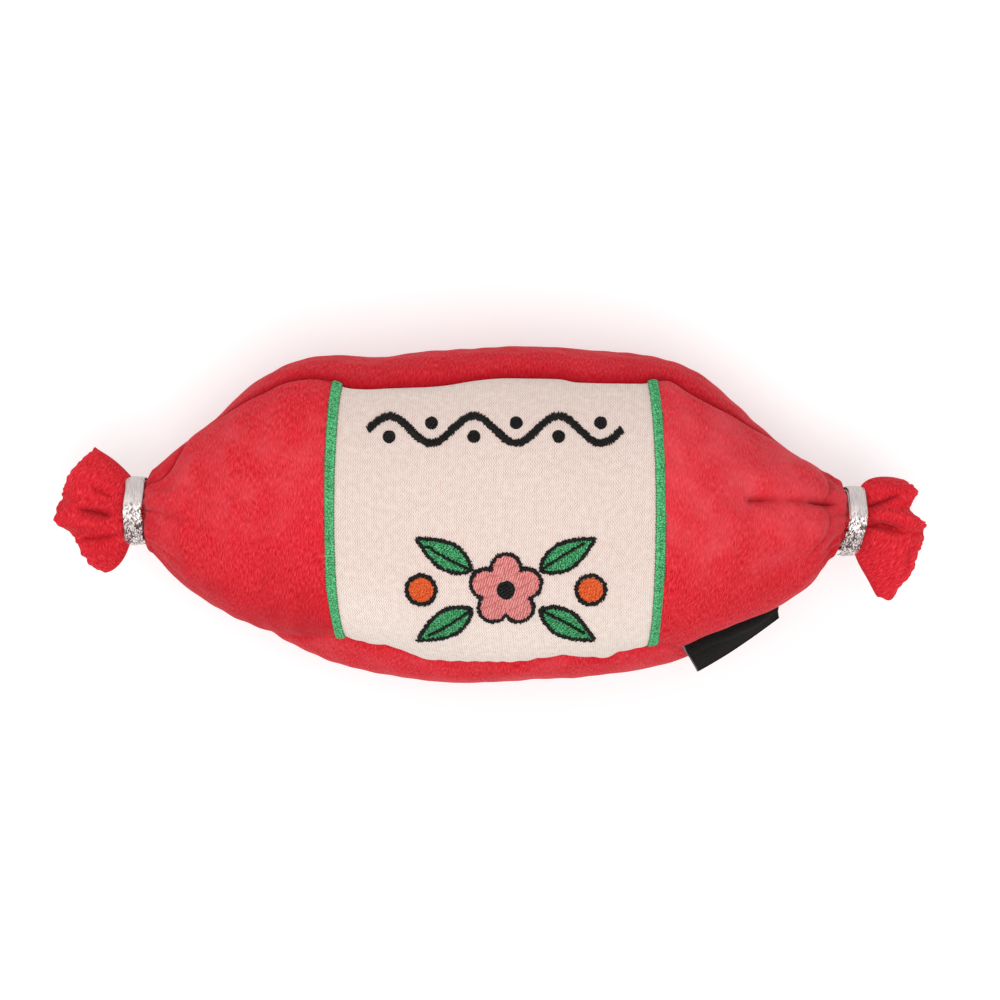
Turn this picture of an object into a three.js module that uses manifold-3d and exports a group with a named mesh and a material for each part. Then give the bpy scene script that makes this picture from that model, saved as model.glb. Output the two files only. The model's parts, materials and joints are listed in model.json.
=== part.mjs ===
// A stuffed plush dog toy shaped like a wrapped sweet, lying on its back.
// Millimetres. +X runs along the toy, +Y to its upper long side, +Z out of the labelled front.
// The origin is on the resting face, under the middle of the toy.

import * as THREE from "three";
import { mergeVertices } from "three/addons/utils/BufferGeometryUtils.js";
import Module from "manifold-3d";

const wasm = await Module();
wasm.setup();

const { lerp, clamp, degToRad } = THREE.MathUtils;

// Stuffed body
const bodySpan = 226.8; // between the centres of the two tied necks
const bodyHalfHeight = 55.9;
const frontDepth = 46; // neck axis to the crown of the front
const backDepth = 43.5; // neck axis to the back before it is pressed flat
const restFlatDepth = 1.5;
const bodyDrift = 4; // how far the hand-stuffed body wanders off its straight axis
const clothThickness = 2.4;

// Seams between the panels
const seamGap = 0.3;
const seamGrooveDepth = 2.2;
const seamGrooveWidth = 7;
const topSeamAngle = degToRad(36); // how far the back rolls over the long sides
const bottomSeamAngle = degToRad(29);
const labelWidth = 108; // cream panel between its two cross seams
const labelShift = 0.8;
const crossSeamBow = 1.6; // the cross seams draw in at their ends

// Gathering at the necks
const lipRadius = 12.6; // where the body's cloth turns in under the tie
const lipSetback = 0.6; // from the neck centre back to the body's last edge
const pleatDepth = 1.5;
const pleatReach = 42;
const pleatCount = 6;
const bunchRadius = 6; // bore left inside the bunched cloth
const bunchLength = 14;
const bunchStraight = 6;

// Inside of the body
const filmThickness = 0.35;
const filmCrumple = 0.4;
const layerClearance = 0.8;
const filmEnd = 32; // from a neck centre to the film's cut end
const stuffingEnd = 17;
const stuffingNose = 16;

// Neck gather and ribbon tie
const gatherBallRadius = 9;
const gatherBarRadius = 8.6;
const neckClearance = 0.35;
const ribbonStart = 3.2; // from the neck centre out to the ribbon
const ribbonWidth = 6.6;
const ribbonThickness = 0.6;
const ribbonCrease = 0.12;
const ribbonPitch = 1.12; // growth of the winding's radius in one turn
const ribbonTurns = 2.15;
const leftRibbonDrift = 0;
const rightRibbonDrift = 1.4; // the right ribbon is wound a little askew

// Ruffs past the ties
const rootRadius = 6.6;
const rootInset = 1.2; // the ruff's root sits this deep inside the ribbon's outer edge
const rootWaistAngle = degToRad(58);
const rimWrap = 1; // the gather's end reaches this far past the root centre
const ruffHalfDepth = 10;
const ruffFoldDepth = 1.9;
const ruffFoldCount = 7;
const ruffLeanBack = 1.6; // the side folds lean back towards the body
const mouthDepth = 12;
const mouthHalfWidth = 13;
const leftRuffLength = 26.4;
const leftRuffHalfWidth = 19.4;
const rightRuffLength = 23.4;
const rightRuffHalfWidth = 20;
const rightRuffTilt = degToRad(-14);

// Side tag
const tagWidth = 31;
const tagReach = 6.4; // at its end nearer the label
const tagFarReach = 2.4; // at its other end
const tagTape = 0.6;
const tagLoopGap = 0.8;
const tagStart = 66; // from the body's middle along the lower seam
const tagClearance = 0.6;

// Embroidery on the label
const threadLift = 0.3;
const threadHeight = 0.6;
const borderWidth = 3.4;
const borderHeight = 0.9;
const borderMargin = 0.3;
const waveRise = 4.4; // from the wave's centre line to its crest
const waveLength = 27;
const waveCount = 3;
const waveStroke = 2.4;
const waveDepth = 16; // from the label's upper edge down to the wave's centre line
const waveDotRadius = 2.1;
const sprayHeight = 23; // from the label's lower edge up to the flower's centre
const sprayShift = 3.5;
const flowerRadius = 11.5;
const flowerEyeRadius = 3;
const petalCount = 5;
const motifGap = 1.2;
const leafLength = 20;
const leafWidth = 8.4;
const leafSpread = degToRad(30);
const berryRadius = 4;
const berryDistance = 27;

// Shares of the body's length and of the sizes above, chosen by hand
const outlineShares = [
  [0, 0], [0.045, 0.235], [0.13, 0.575], [0.22, 0.815], [0.32, 0.917], [0.5, 1],
  [0.66, 0.952], [0.77, 0.835], [0.87, 0.545], [0.94, 0.262], [1, 0],
];
const driftShares = [
  [0, 0.45], [0.07, 0.15], [0.16, 0.95], [0.25, 0.6], [0.36, 0], [0.5, 0],
  [0.7, 0.25], [0.8, 0.1], [0.9, -0.75], [0.96, -0.8], [1, -0.35],
];
const topSeamShares = [
  [0, 0], [0.045, 0.08], [0.12, 0.66], [0.17, 0.78], [0.22, 0.76], [0.25, 0.8], [0.285, 0.97],
  [0.35, 1], [0.42, 1.02], [0.475, 0.97], [0.54, 0.945], [0.62, 0.96], [0.7, 0.93], [0.735, 0.83],
  [0.757, 0.74], [0.785, 0.87], [0.81, 0.885], [0.84, 0.81], [0.875, 0.71], [0.9, 0.5], [0.928, 0.12],
  [1, 0],
];
const bottomSeamShares = [
  [0, 0], [0.13, 0], [0.165, 0.14], [0.196, 0.53], [0.23, 0.84], [0.267, 1.09], [0.3, 1.19],
  [0.35, 1.18], [0.396, 0.95], [0.5, 0.93], [0.6, 1.02], [0.66, 0.8], [0.7, 0.97], [0.735, 1],
  [0.756, 0.86], [0.773, 0.65], [0.8, 0.05], [0.83, -0.2], [0.87, -0.25], [0.94, -0.2], [1, 0],
];

const stuffingTipShare = 0.33; // of the nose's length, cut off blunt at each end
const ruffBellyShare = 0.86; // of the ruff's half width, where its side folds turn forward
const ruffRiseShare = 0.8;
const borderEdgeShare = 0.15; // of the half circle that the satin stitch's crown follows
const petalNotchShare = 0.66;
const petalRoundnessShare = 0.7;
const leafBellyShare = 0.45;

// Facet counts
const panelSteps = 8;
const frontSteps = 16;
const backSteps = 20;
const roundSteps = 24;
const tagProbes = 60;
const stuffingSteps = 18;
const stuffingFrontSteps = 10;
const stuffingBackSteps = 14;
const ballSteps = 5;
const dishSteps = 4;
const rootSteps = 4;
const fanSteps = 5;
const borderSteps = 3;
const waveSteps = 12;
const petalSteps = 8;
const motifSteps = 8;
const tagBendSteps = 6;
const filmSeamSteps = 2; // the film stops this many facets short of a long seam

// A smooth curve through hand-chosen pairs of place and value.
function curveThrough(pairs) {
  const last = pairs.length - 1;
  const slope = (a, b) => (pairs[b][1] - pairs[a][1]) / (pairs[b][0] - pairs[a][0]);
  return (place) => {
    let i = 0;
    while (i < last - 1 && place > pairs[i + 1][0]) i += 1;
    const span = pairs[i + 1][0] - pairs[i][0];
    const t = clamp((place - pairs[i][0]) / span, 0, 1);
    const leave = span * slope(Math.max(i - 1, 0), i + 1);
    const arrive = span * slope(i, Math.min(i + 2, last));
    return (
      (1 + 2 * t) * (1 - t) ** 2 * pairs[i][1] + t * (1 - t) ** 2 * leave +
      t * t * (3 - 2 * t) * pairs[i + 1][1] + t * t * (t - 1) * arrive
    );
  };
}

const outline = curveThrough(outlineShares);
const drift = curveThrough(driftShares);
const topSeam = curveThrough(topSeamShares);
const bottomSeam = curveThrough(bottomSeamShares);

// Even steps from 0 to 1, and the same drawn towards both ends.
const evenSteps = (count) => Array.from({ length: count + 1 }, (_, i) => i / count);
const edgeSteps = (count) => evenSteps(count).map((v) => (v + (1 - Math.cos(Math.PI * v)) / 2) / 2);

// Places that follow from the sizes
const axisHeight = backDepth - restFlatDepth;
const leftRootPlace = ribbonStart + ribbonWidth + leftRibbonDrift - rootInset;
const rightRootPlace = ribbonStart + ribbonWidth + rightRibbonDrift - rootInset;
const ruffReach = (length, tilt) => Math.sqrt(length ** 2 - ruffHalfDepth ** 2) * Math.cos(tilt);
const leftReach = leftRootPlace + ruffReach(leftRuffLength, 0);
const rightReach = rightRootPlace + ruffReach(rightRuffLength, rightRuffTilt);
const bodyMiddle = (leftReach - rightReach) / 2; // so that the two cut ends lie evenly about zero
const leftCrossSeam = 0.5 + (labelShift - labelWidth / 2) / bodySpan;
const rightCrossSeam = 0.5 + (labelShift + labelWidth / 2) / bodySpan;
const alongBody = (place) => bodyMiddle + (place - 0.5) * bodySpan;
const placeOf = (x) => 0.5 + (x - bodyMiddle) / bodySpan;
const acrossBody = (place) => bodyDrift * drift(place);

const ends = [
  {
    name: "left", side: -1, place: 0, rootPlace: leftRootPlace, ribbonDrift: leftRibbonDrift,
    ruffLength: leftRuffLength, ruffHalfWidth: leftRuffHalfWidth, tilt: 0,
    leanShare: 0.03, sideShare: -0.05, ribbonTurn: degToRad(150),
  },
  {
    name: "right", side: 1, place: 1, rootPlace: rightRootPlace, ribbonDrift: rightRibbonDrift,
    ruffLength: rightRuffLength, ruffHalfWidth: rightRuffHalfWidth, tilt: rightRuffTilt,
    leanShare: -0.2, sideShare: 0.1, ribbonTurn: degToRad(210),
  },
];
for (const end of ends) {
  end.neck = new THREE.Vector3(alongBody(end.place), acrossBody(end.place), axisHeight);
}

// A closed geometry from points and triangles: like points merged, collapsed triangles left out,
// and all faces turned out.
function closedGeometry(points, triangles) {
  const flat = new THREE.BufferGeometry();
  const corners = triangles.flat().flatMap((i) => points[i].toArray());
  flat.setAttribute("position", new THREE.Float32BufferAttribute(corners, 3));
  const merged = mergeVertices(flat);
  const at = (i) => new THREE.Vector3().fromBufferAttribute(merged.attributes.position, i);
  const kept = [];
  let volume = 0;
  for (let i = 0; i < merged.index.count; i += 3) {
    const [a, b, c] = [0, 1, 2].map((k) => merged.index.getX(i + k));
    if (a === b || b === c || c === a) continue;
    kept.push([a, b, c]);
    volume += at(a).dot(at(b).cross(at(c)));
  }
  merged.setIndex(kept.flatMap(([a, b, c]) => (volume > 0 ? [a, b, c] : [a, c, b])));
  return merged;
}

// A sheet with thickness between two grids of points of the same size.
function slab(outer, inner) {
  const rows = outer.length;
  const columns = outer[0].length;
  const points = [...outer.flat(), ...inner.flat()];
  const top = (i, j) => i * columns + j;
  const under = (i, j) => rows * columns + top(i, j);
  const triangles = [];
  const quad = (a, b, c, d) => triangles.push([a, b, c], [a, c, d]);
  for (let i = 0; i < rows - 1; i += 1) {
    for (let j = 0; j < columns - 1; j += 1) {
      quad(top(i, j), top(i + 1, j), top(i + 1, j + 1), top(i, j + 1));
      quad(under(i, j), under(i, j + 1), under(i + 1, j + 1), under(i + 1, j));
    }
    quad(top(i, 0), under(i, 0), under(i + 1, 0), top(i + 1, 0));
    quad(top(i, columns - 1), top(i + 1, columns - 1), under(i + 1, columns - 1), under(i, columns - 1));
  }
  for (let j = 0; j < columns - 1; j += 1) {
    quad(top(0, j), top(0, j + 1), under(0, j + 1), under(0, j));
    quad(top(rows - 1, j), under(rows - 1, j), under(rows - 1, j + 1), top(rows - 1, j + 1));
  }
  return closedGeometry(points, triangles);
}

// A solid through closed rings of points, with its two ends filled to their middles.
function ringSolid(rings) {
  const count = rings[0].length;
  const middle = (ring) => {
    const sum = ring.reduce((total, p) => total.add(p), new THREE.Vector3());
    return sum.divideScalar(count);
  };
  const points = [...rings.flat(), middle(rings[0]), middle(rings[rings.length - 1])];
  const first = points.length - 2;
  const last = points.length - 1;
  const at = (i, j) => i * count + (j % count);
  const triangles = [];
  for (let j = 0; j < count; j += 1) {
    for (let i = 0; i < rings.length - 1; i += 1) {
      triangles.push([at(i, j), at(i + 1, j), at(i + 1, j + 1)]);
      triangles.push([at(i, j), at(i + 1, j + 1), at(i, j + 1)]);
    }
    triangles.push([first, at(0, j), at(0, j + 1)]);
    triangles.push([last, at(rings.length - 1, j + 1), at(rings.length - 1, j)]);
  }
  return closedGeometry(points, triangles);
}

// Booleans
function solidOf(geometry, position = new THREE.Vector3()) {
  const bare = geometry.clone();
  bare.deleteAttribute("normal");
  bare.deleteAttribute("uv");
  bare.translate(position.x, position.y, position.z);
  const merged = mergeVertices(bare);
  return new wasm.Manifold(new wasm.Mesh({
    numProp: 3,
    vertProperties: new Float32Array(merged.attributes.position.array),
    triVerts: new Uint32Array(merged.index.array),
  }));
}

function geometryOf(solid) {
  const { vertProperties, triVerts } = solid.getMesh();
  const geometry = new THREE.BufferGeometry();
  geometry.setAttribute("position", new THREE.BufferAttribute(vertProperties, 3));
  geometry.setIndex(new THREE.BufferAttribute(triVerts, 1));
  return geometry;
}

// The stuffed body's skin

// Half sizes of the body's section at a place along it, a depth below the outer surface.
function sectionRadii(place, inset, bunched) {
  const share = outline(place);
  const step = 0.01;
  const rise = (outline(place + step) - outline(place - step)) / (2 * step * bodySpan);
  const deep = inset * Math.hypot(1, rise * (bodyHalfHeight - lipRadius));
  const toLip = (0.5 - Math.abs(place - 0.5)) * bodySpan - lipSetback;
  const gathered = THREE.MathUtils.smoothstep(bunchLength - toLip, 0, bunchLength - bunchStraight);
  const radius = (widest) => {
    const open = lipRadius + (widest - lipRadius) * share - deep;
    return bunched ? lerp(open, bunchRadius, gathered) : open;
  };
  return { height: radius(bodyHalfHeight), front: radius(frontDepth), back: radius(backDepth) };
}

// A point of the body: place 0 to 1 along it, v 0 to 1 over the front from the upper long seam to
// the lower one, or over the back from the lower seam round to the upper one.
function bodyPoint(place, face, v, inset = 0, bunched = false) {
  const radii = sectionRadii(place, inset, bunched);
  const top = topSeamAngle * topSeam(place);
  const bottom = Math.PI - bottomSeamAngle * bottomSeam(place);
  const [first, last] = face === "front" ? [top, bottom] : [bottom, 2 * Math.PI + top];
  const edge = seamGap / 2 / radii.height;
  const turn = lerp(first + edge, last - edge, v);
  const fromSeam = Math.min(turn - first, last - turn) * radii.height;
  const groove = seamGrooveDepth * outline(place) * Math.exp(-fromSeam / seamGrooveWidth);
  const toNeck = (0.5 - Math.abs(place - 0.5)) * bodySpan;
  const pleat = pleatDepth * clamp(1 - toNeck / pleatReach, 0, 1) * Math.cos(pleatCount * turn);
  const scale = 1 - groove / bodyHalfHeight + pleat / Math.max(radii.height, lipRadius);
  const along = 2 * place - 1;
  const border = labelWidth / bodySpan;
  const bow = (crossSeamBow * along * (1 - along ** 2)) / (border * (1 - border ** 2));
  const depth = Math.sin(turn) > 0 ? radii.front : radii.back;
  return new THREE.Vector3(
    alongBody(place) - bow * (face === "front" ? (2 * v - 1) ** 2 : 1),
    acrossBody(place) + radii.height * scale * Math.cos(turn),
    axisHeight + depth * scale * Math.sin(turn),
  );
}

function bodyGrid(face, places, crossings, inset, bunched) {
  return places.map((place) => crossings.map((v) => bodyPoint(place, face, v, inset, bunched)));
}

// Places along the body, closer together towards the neck.
const lipPlace = lipSetback / bodySpan;
const halfGap = seamGap / 2 / bodySpan;
const drawn = evenSteps(panelSteps).map((share) => share ** 1.3);
const leftPlaces = drawn.map((share) => lerp(lipPlace, leftCrossSeam, share));
const labelPlaces = evenSteps(panelSteps).map((share) => lerp(leftCrossSeam, rightCrossSeam, share));
const rightPlaces = drawn.map((share) => lerp(1 - lipPlace, rightCrossSeam, share)).reverse();
const bodyPlaces = [...leftPlaces, ...labelPlaces.slice(1), ...rightPlaces.slice(1)];
const replaced = (places, index, place) => places.map((p, i) => (i === index ? place : p));

// Round hollow in the bunched cloth that the neck gather turns in.
function neckSocket(end) {
  const facetLoss = Math.cos(Math.PI / roundSteps) ** 2;
  const ball = new THREE.SphereGeometry(
    (gatherBallRadius + neckClearance) / facetLoss, roundSteps, roundSteps / 2,
  );
  return solidOf(ball, end.neck);
}

function clothPanel(face, places, crossings) {
  const outer = bodyGrid(face, places, crossings, 0, false);
  const inner = bodyGrid(face, places, crossings, clothThickness, true);
  let solid = solidOf(slab(outer, inner));
  for (const end of ends) solid = solid.subtract(neckSocket(end));
  return solid;
}

// The back cloth is pressed flat where the toy rests.
function backPanel() {
  const floor = new THREE.BoxGeometry(bodySpan, 2 * bodyHalfHeight, backDepth);
  const under = solidOf(floor, new THREE.Vector3(bodyMiddle, 0, -backDepth / 2));
  return geometryOf(clothPanel("back", bodyPlaces, edgeSteps(backSteps)).subtract(under));
}

function frontPanel(places) {
  return geometryOf(clothPanel("front", places, edgeSteps(frontSteps)));
}

// Layers inside the body

const filmDepth = clothThickness + layerClearance + filmCrumple + filmThickness / 2;
const stuffingDepth = filmDepth + filmThickness / 2 + filmCrumple + layerClearance;

// Crumpled sheet: every second corner of its grid stands up, the others lie low. It shares the
// cloth's grid, so the two stay parallel.
function crinkleFilm(face, crossings) {
  const places = bodyPlaces.filter((place) => (0.5 - Math.abs(place - 0.5)) * bodySpan > filmEnd);
  const inside = crossings.slice(filmSeamSteps, -filmSeamSteps);
  const grid = (lift) => places.map((place, i) => inside.map((v, j) => {
    const crumple = (i + j) % 2 === 0 ? filmCrumple : -filmCrumple;
    return bodyPoint(place, face, v, filmDepth + crumple - lift);
  }));
  return slab(grid(filmThickness / 2), grid(-filmThickness / 2));
}

function stuffing() {
  const ends = [stuffingEnd / bodySpan, 1 - stuffingEnd / bodySpan];
  const rings = edgeSteps(stuffingSteps).map((s) => {
    const place = lerp(...ends, s);
    const toEnd = Math.min(s, 1 - s) * (ends[1] - ends[0]) * bodySpan;
    const bulge = Math.sin((Math.PI / 2) * clamp(toEnd / stuffingNose + stuffingTipShare, 0, 1));
    const axis = new THREE.Vector3(alongBody(place), acrossBody(place), axisHeight);
    const around = [["front", stuffingFrontSteps], ["back", stuffingBackSteps]].flatMap(([face, count]) =>
      evenSteps(count).slice(0, -1).map((v) => bodyPoint(place, face, v, stuffingDepth)));
    return around.map((point) => axis.clone().lerp(point, bulge));
  });
  return ringSolid(rings);
}

// Tied ends

// The cloth squeezed by the ribbon: a round nose that turns in the body's socket, a bar under the
// ribbon and a dish that takes the ruff's root.
function neckGather(end) {
  const dishRadius = (rootRadius + neckClearance) / Math.cos(Math.PI / roundSteps);
  const barStart = Math.sqrt(gatherBallRadius ** 2 - gatherBarRadius ** 2);
  const noseTurn = Math.atan2(gatherBarRadius, barStart);
  const rimTurn = Math.acos(rimWrap / dishRadius);
  const profile = [];
  for (const s of evenSteps(ballSteps)) {
    const turn = lerp(Math.PI, noseTurn, s);
    const radius = s === 0 ? 0 : gatherBallRadius * Math.sin(turn);
    profile.push(new THREE.Vector2(radius, gatherBallRadius * Math.cos(turn)));
  }
  profile.push(new THREE.Vector2(gatherBarRadius, end.rootPlace + rimWrap));
  for (const s of evenSteps(dishSteps)) {
    const turn = lerp(rimTurn, Math.PI, s);
    const radius = s === 1 ? 0 : dishRadius * Math.sin(turn);
    profile.push(new THREE.Vector2(radius, end.rootPlace + dishRadius * Math.cos(turn)));
  }
  return new THREE.LatheGeometry(profile, roundSteps);
}

// The ribbon is one flat strip wound outwards, with a crease along its middle.
function ribbonSections(end) {
  const startRadius = gatherBarRadius + neckClearance + ribbonThickness / 2;
  const steps = Math.round(roundSteps * ribbonTurns);
  const half = ribbonThickness / 2;
  const edge = ribbonWidth / 2;
  const section = [[half, -edge], [half - ribbonCrease, 0], [half, edge], [-half, edge],
    [-half, 0], [-half, -edge]];
  return evenSteps(steps).map((s) => {
    const turn = end.ribbonTurn + s * ribbonTurns * 2 * Math.PI;
    const radius = startRadius + s * ribbonTurns * ribbonPitch;
    const along = ribbonStart + edge + s * end.ribbonDrift;
    return section.map(([out, offset]) => new THREE.Vector3(
      end.side * (along + offset),
      (radius + out) * Math.cos(turn),
      (radius + out) * Math.sin(turn),
    ));
  });
}

// Least distance between one turn's outer corners and the strips of the next turn's inner side.
function leastRibbonGap(sections) {
  let least = Infinity;
  const nearest = new THREE.Vector3();
  sections.forEach((section, i) => {
    for (let k = i + Math.round(roundSteps / 2); k < sections.length - 1; k += 1) {
      for (const corner of section) {
        for (let m = 0; m < section.length; m += 1) {
          const edge = new THREE.Line3(sections[k][m], sections[k + 1][m]);
          edge.closestPointToPoint(corner, true, nearest);
          least = Math.min(least, nearest.distanceTo(corner));
        }
      }
    }
  });
  return least;
}

// One layer of the ruff, front or back: a round root in the dish, then cloth that fans out in
// folds to its cut edge.
function ruffLayer(end, layer) {
  const waist = {
    along: rootRadius * Math.cos(rootWaistAngle),
    radius: rootRadius * Math.sin(rootWaistAngle),
  };
  const first = layer === "front" ? 0 : Math.PI;
  const turns = evenSteps(roundSteps).map((s) => first + s * Math.PI);
  const shift = (layer === "front" ? seamGap : -seamGap) / 2;
  const tilted = (along, y, z, share) => {
    const point = new THREE.Vector3(along, y, z);
    point.applyAxisAngle(new THREE.Vector3(0, 0, 1), end.tilt * share);
    return new THREE.Vector3(end.side * point.x, point.y, point.z + shift);
  };
  const rim = (turn) => {
    const lean = 1 + end.leanShare * Math.cos(turn);
    const y = end.ruffHalfWidth * lean * Math.cos(turn);
    const z = ruffHalfDepth * Math.sin(turn);
    const length = end.ruffLength * lean * (1 + end.sideShare * Math.cos(turn) ** 2);
    return { along: Math.sqrt(Math.max(length ** 2 - y ** 2 - z ** 2, 0)), y, z };
  };
  const folded = (along, y, z, share, turn) => {
    const depth = ruffFoldDepth * share ** 1.2 * Math.cos(ruffFoldCount * turn);
    const grown = 1 + depth / Math.max(Math.hypot(y, z), rootRadius);
    return tilted(along, y * grown, z * grown, share);
  };
  const outer = [];
  const inner = [];
  const throat = rim(Math.PI / 2).along - mouthDepth;
  for (const s of evenSteps(rootSteps).slice(0, -1)) {
    const angle = lerp(Math.PI, rootWaistAngle, s);
    const along = rootRadius * Math.cos(angle);
    const radius = s === 0 ? 0 : rootRadius * Math.sin(angle);
    outer.push(turns.map((t) => tilted(along, radius * Math.cos(t), radius * Math.sin(t), 0)));
    inner.push(turns.map(() => tilted(lerp(-rootRadius / 2, 0, s), 0, 0, 0)));
  }
  for (const s of evenSteps(fanSteps)) {
    outer.push(turns.map((t) => {
      const end = rim(t);
      const side = Math.cos(t) ** 2;
      const bend = [(1 - s) ** 2, 2 * s * (1 - s), s ** 2];
      const along = [waist.along, lerp(end.along / 2, -ruffLeanBack, side), end.along];
      const y = [waist.radius * Math.cos(t), ruffBellyShare * end.y, end.y];
      const z = [waist.radius * Math.sin(t), ruffRiseShare * end.z, end.z];
      const mix = (values) => bend.reduce((sum, weight, i) => sum + weight * values[i], 0);
      return folded(mix(along), mix(y), mix(z), s, t);
    }));
    inner.push(turns.map((t) => {
      const end = rim(t);
      const y = mouthHalfWidth * Math.cos(t);
      const z = (ruffHalfDepth - clothThickness) * Math.sin(t);
      return folded(lerp(throat, end.along, s), y * s, z * s, s, t);
    }));
  }
  return slab(outer, inner);
}

// Side tag: a woven tape folded into a loop, its two ends caught in the lower seam. Its root is a
// straight line just clear of the seam's bulge.
function tagPlace() {
  const seamAt = (x) => bodyPoint(placeOf(bodyMiddle + tagStart + x), "back", 0);
  const first = seamAt(0);
  const along = seamAt(tagWidth).sub(first).setZ(0).normalize();
  const out = new THREE.Vector3(along.y, -along.x, 0);
  const run = tagWidth * along.x;
  const height = seamAt(run / 2).z;
  const half = tagTape + tagLoopGap / 2 + tagClearance;
  let bulge = 0;
  for (const s of evenSteps(tagProbes)) {
    const place = placeOf(bodyMiddle + tagStart + s * run);
    for (const v of evenSteps(tagProbes)) {
      for (const p of [bodyPoint(place, "back", v / 2), bodyPoint(place, "front", 1 - v / 2)]) {
        if (Math.abs(p.z - height) < half) bulge = Math.max(bulge, p.sub(first).dot(out));
      }
    }
  }
  const root = first.clone().addScaledVector(out, bulge + tagClearance).setZ(height);
  return { along, out, root };
}

function tagLoop() {
  const half = tagTape + tagLoopGap / 2;
  const straight = tagReach - half;
  const shape = new THREE.Shape();
  shape.moveTo(0, -half);
  shape.lineTo(straight, -half);
  shape.absarc(straight, 0, half, -Math.PI / 2, Math.PI / 2, false);
  shape.lineTo(0, half);
  shape.lineTo(0, half - tagTape);
  shape.lineTo(straight, half - tagTape);
  shape.absarc(straight, 0, half - tagTape, Math.PI / 2, -Math.PI / 2, true);
  shape.lineTo(0, tagTape - half);
  shape.closePath();
  const loop = new THREE.ExtrudeGeometry(shape, {
    depth: tagWidth, bevelEnabled: false, curveSegments: tagBendSteps,
  });
  const corners = loop.getAttribute("position");
  for (let i = 0; i < corners.count; i += 1) {
    const taper = lerp(1, tagFarReach / tagReach, corners.getZ(i) / tagWidth);
    corners.setX(i, corners.getX(i) * taper);
  }
  return loop;
}

// Embroidery

// Raised satin stitch along one cross seam of the label.
function satinBorder(firstX) {
  const rows = evenSteps(borderSteps);
  const grid = (lift) => rows.map((s) => {
    const place = placeOf(firstX + s * borderWidth);
    const crown = Math.sin(Math.PI * lerp(borderEdgeShare, 1 - borderEdgeShare, s));
    return edgeSteps(frontSteps).map((v) => bodyPoint(place, "front", v, -threadLift - lift * crown));
  });
  return slab(grid(borderHeight), grid(0));
}

// The layer of thread that lies over the whole label, from which motifs are cut.
function threadLayer() {
  const crossings = edgeSteps(frontSteps);
  const top = bodyGrid("front", labelPlaces, crossings, -threadLift - threadHeight, false);
  const bottom = bodyGrid("front", labelPlaces, crossings, -threadLift, false);
  return solidOf(slab(top, bottom));
}

const threads = threadLayer();

function embroidered(shape) {
  const prism = new THREE.ExtrudeGeometry(shape, {
    depth: frontDepth, bevelEnabled: false, curveSegments: motifSteps,
  });
  const above = new THREE.Vector3(0, 0, axisHeight + threadLift + threadHeight);
  return geometryOf(threads.intersect(solidOf(prism, above)));
}

const labelMiddle = bodyMiddle + labelShift;
const waveHeight = bodyPoint(placeOf(labelMiddle), "front", 0).y - waveDepth;
const sprayCentre = new THREE.Vector2(
  labelMiddle + sprayShift,
  bodyPoint(placeOf(labelMiddle), "front", 1).y + sprayHeight,
);

function waveShape() {
  const length = waveCount * waveLength;
  const centre = (s) => new THREE.Vector2(
    labelMiddle + (s - 0.5) * length,
    waveHeight + waveRise * Math.sin(s * waveCount * 2 * Math.PI),
  );
  const side = (s, sign) => {
    const tangent = centre(s + 0.001).sub(centre(s - 0.001)).normalize();
    return centre(s).add(new THREE.Vector2(-tangent.y, tangent.x).multiplyScalar((sign * waveStroke) / 2));
  };
  const steps = evenSteps(waveSteps * waveCount);
  return new THREE.Shape([
    ...steps.map((s) => side(s, -1)),
    ...steps.toReversed().map((s) => side(s, 1)),
  ]);
}

// A dot in each bay of the wave, over the troughs and under the crests.
function waveDotShape(index) {
  const s = (index + 0.5) / (2 * waveCount);
  const x = labelMiddle + (s - 0.5) * waveCount * waveLength;
  const side = index % 2 === 0 ? -1 : 1;
  const y = waveHeight + side * (waveStroke / 2 + waveDotRadius - waveRise / 4);
  return new THREE.Shape().absarc(x, y, waveDotRadius, 0, 2 * Math.PI, false);
}

function flowerShape() {
  const edge = evenSteps(petalCount * petalSteps).slice(0, -1).map((s) => {
    const lobe = Math.abs(Math.cos(s * petalCount * Math.PI));
    const radius = flowerRadius * lerp(petalNotchShare, 1, lobe ** petalRoundnessShare);
    return new THREE.Vector2(0, radius).rotateAround(new THREE.Vector2(), s * 2 * Math.PI).add(sprayCentre);
  });
  const shape = new THREE.Shape(edge);
  const hole = new THREE.Path();
  hole.absarc(sprayCentre.x, sprayCentre.y, flowerEyeRadius + seamGap, 0, 2 * Math.PI, true);
  shape.holes.push(hole);
  return shape;
}

function discShape(centre, radius) {
  return new THREE.Shape().absarc(centre.x, centre.y, radius, 0, 2 * Math.PI, false);
}

// A leaf that points away from the flower at an angle.
function leafShape(angle) {
  const at = (along, across) => new THREE.Vector2(flowerRadius + motifGap + along, across)
    .rotateAround(new THREE.Vector2(), angle).add(sprayCentre);
  const shape = new THREE.Shape();
  const root = at(0, 0);
  const tip = at(leafLength, 0);
  shape.moveTo(root.x, root.y);
  const belly = at(leafLength * leafBellyShare, -leafWidth);
  const back = at(leafLength * leafBellyShare, leafWidth);
  shape.quadraticCurveTo(belly.x, belly.y, tip.x, tip.y);
  shape.quadraticCurveTo(back.x, back.y, root.x, root.y);
  return shape;
}

// Finishes
const finish = (color, roughness, metalness = 0) =>
  new THREE.MeshStandardMaterial({ color, roughness, metalness });
const redPlush = finish(0xd9404b, 0.9);
const creamTwill = finish(0xeeded2, 0.8);
const greenThread = finish(0x2a8a50, 0.45);
const blackThread = finish(0x2a2523, 0.5);
const pinkThread = finish(0xe08488, 0.45);
const orangeThread = finish(0xd85a32, 0.45);
const silverRibbon = finish(0xc4c0bf, 0.3, 0.8);
const blackTape = finish(0x24201f, 0.8);
const clearFilm = finish(0xd8dde2, 0.25);
const whiteFill = finish(0xf4f2ee, 0.95);

const toy = new THREE.Group();

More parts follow.
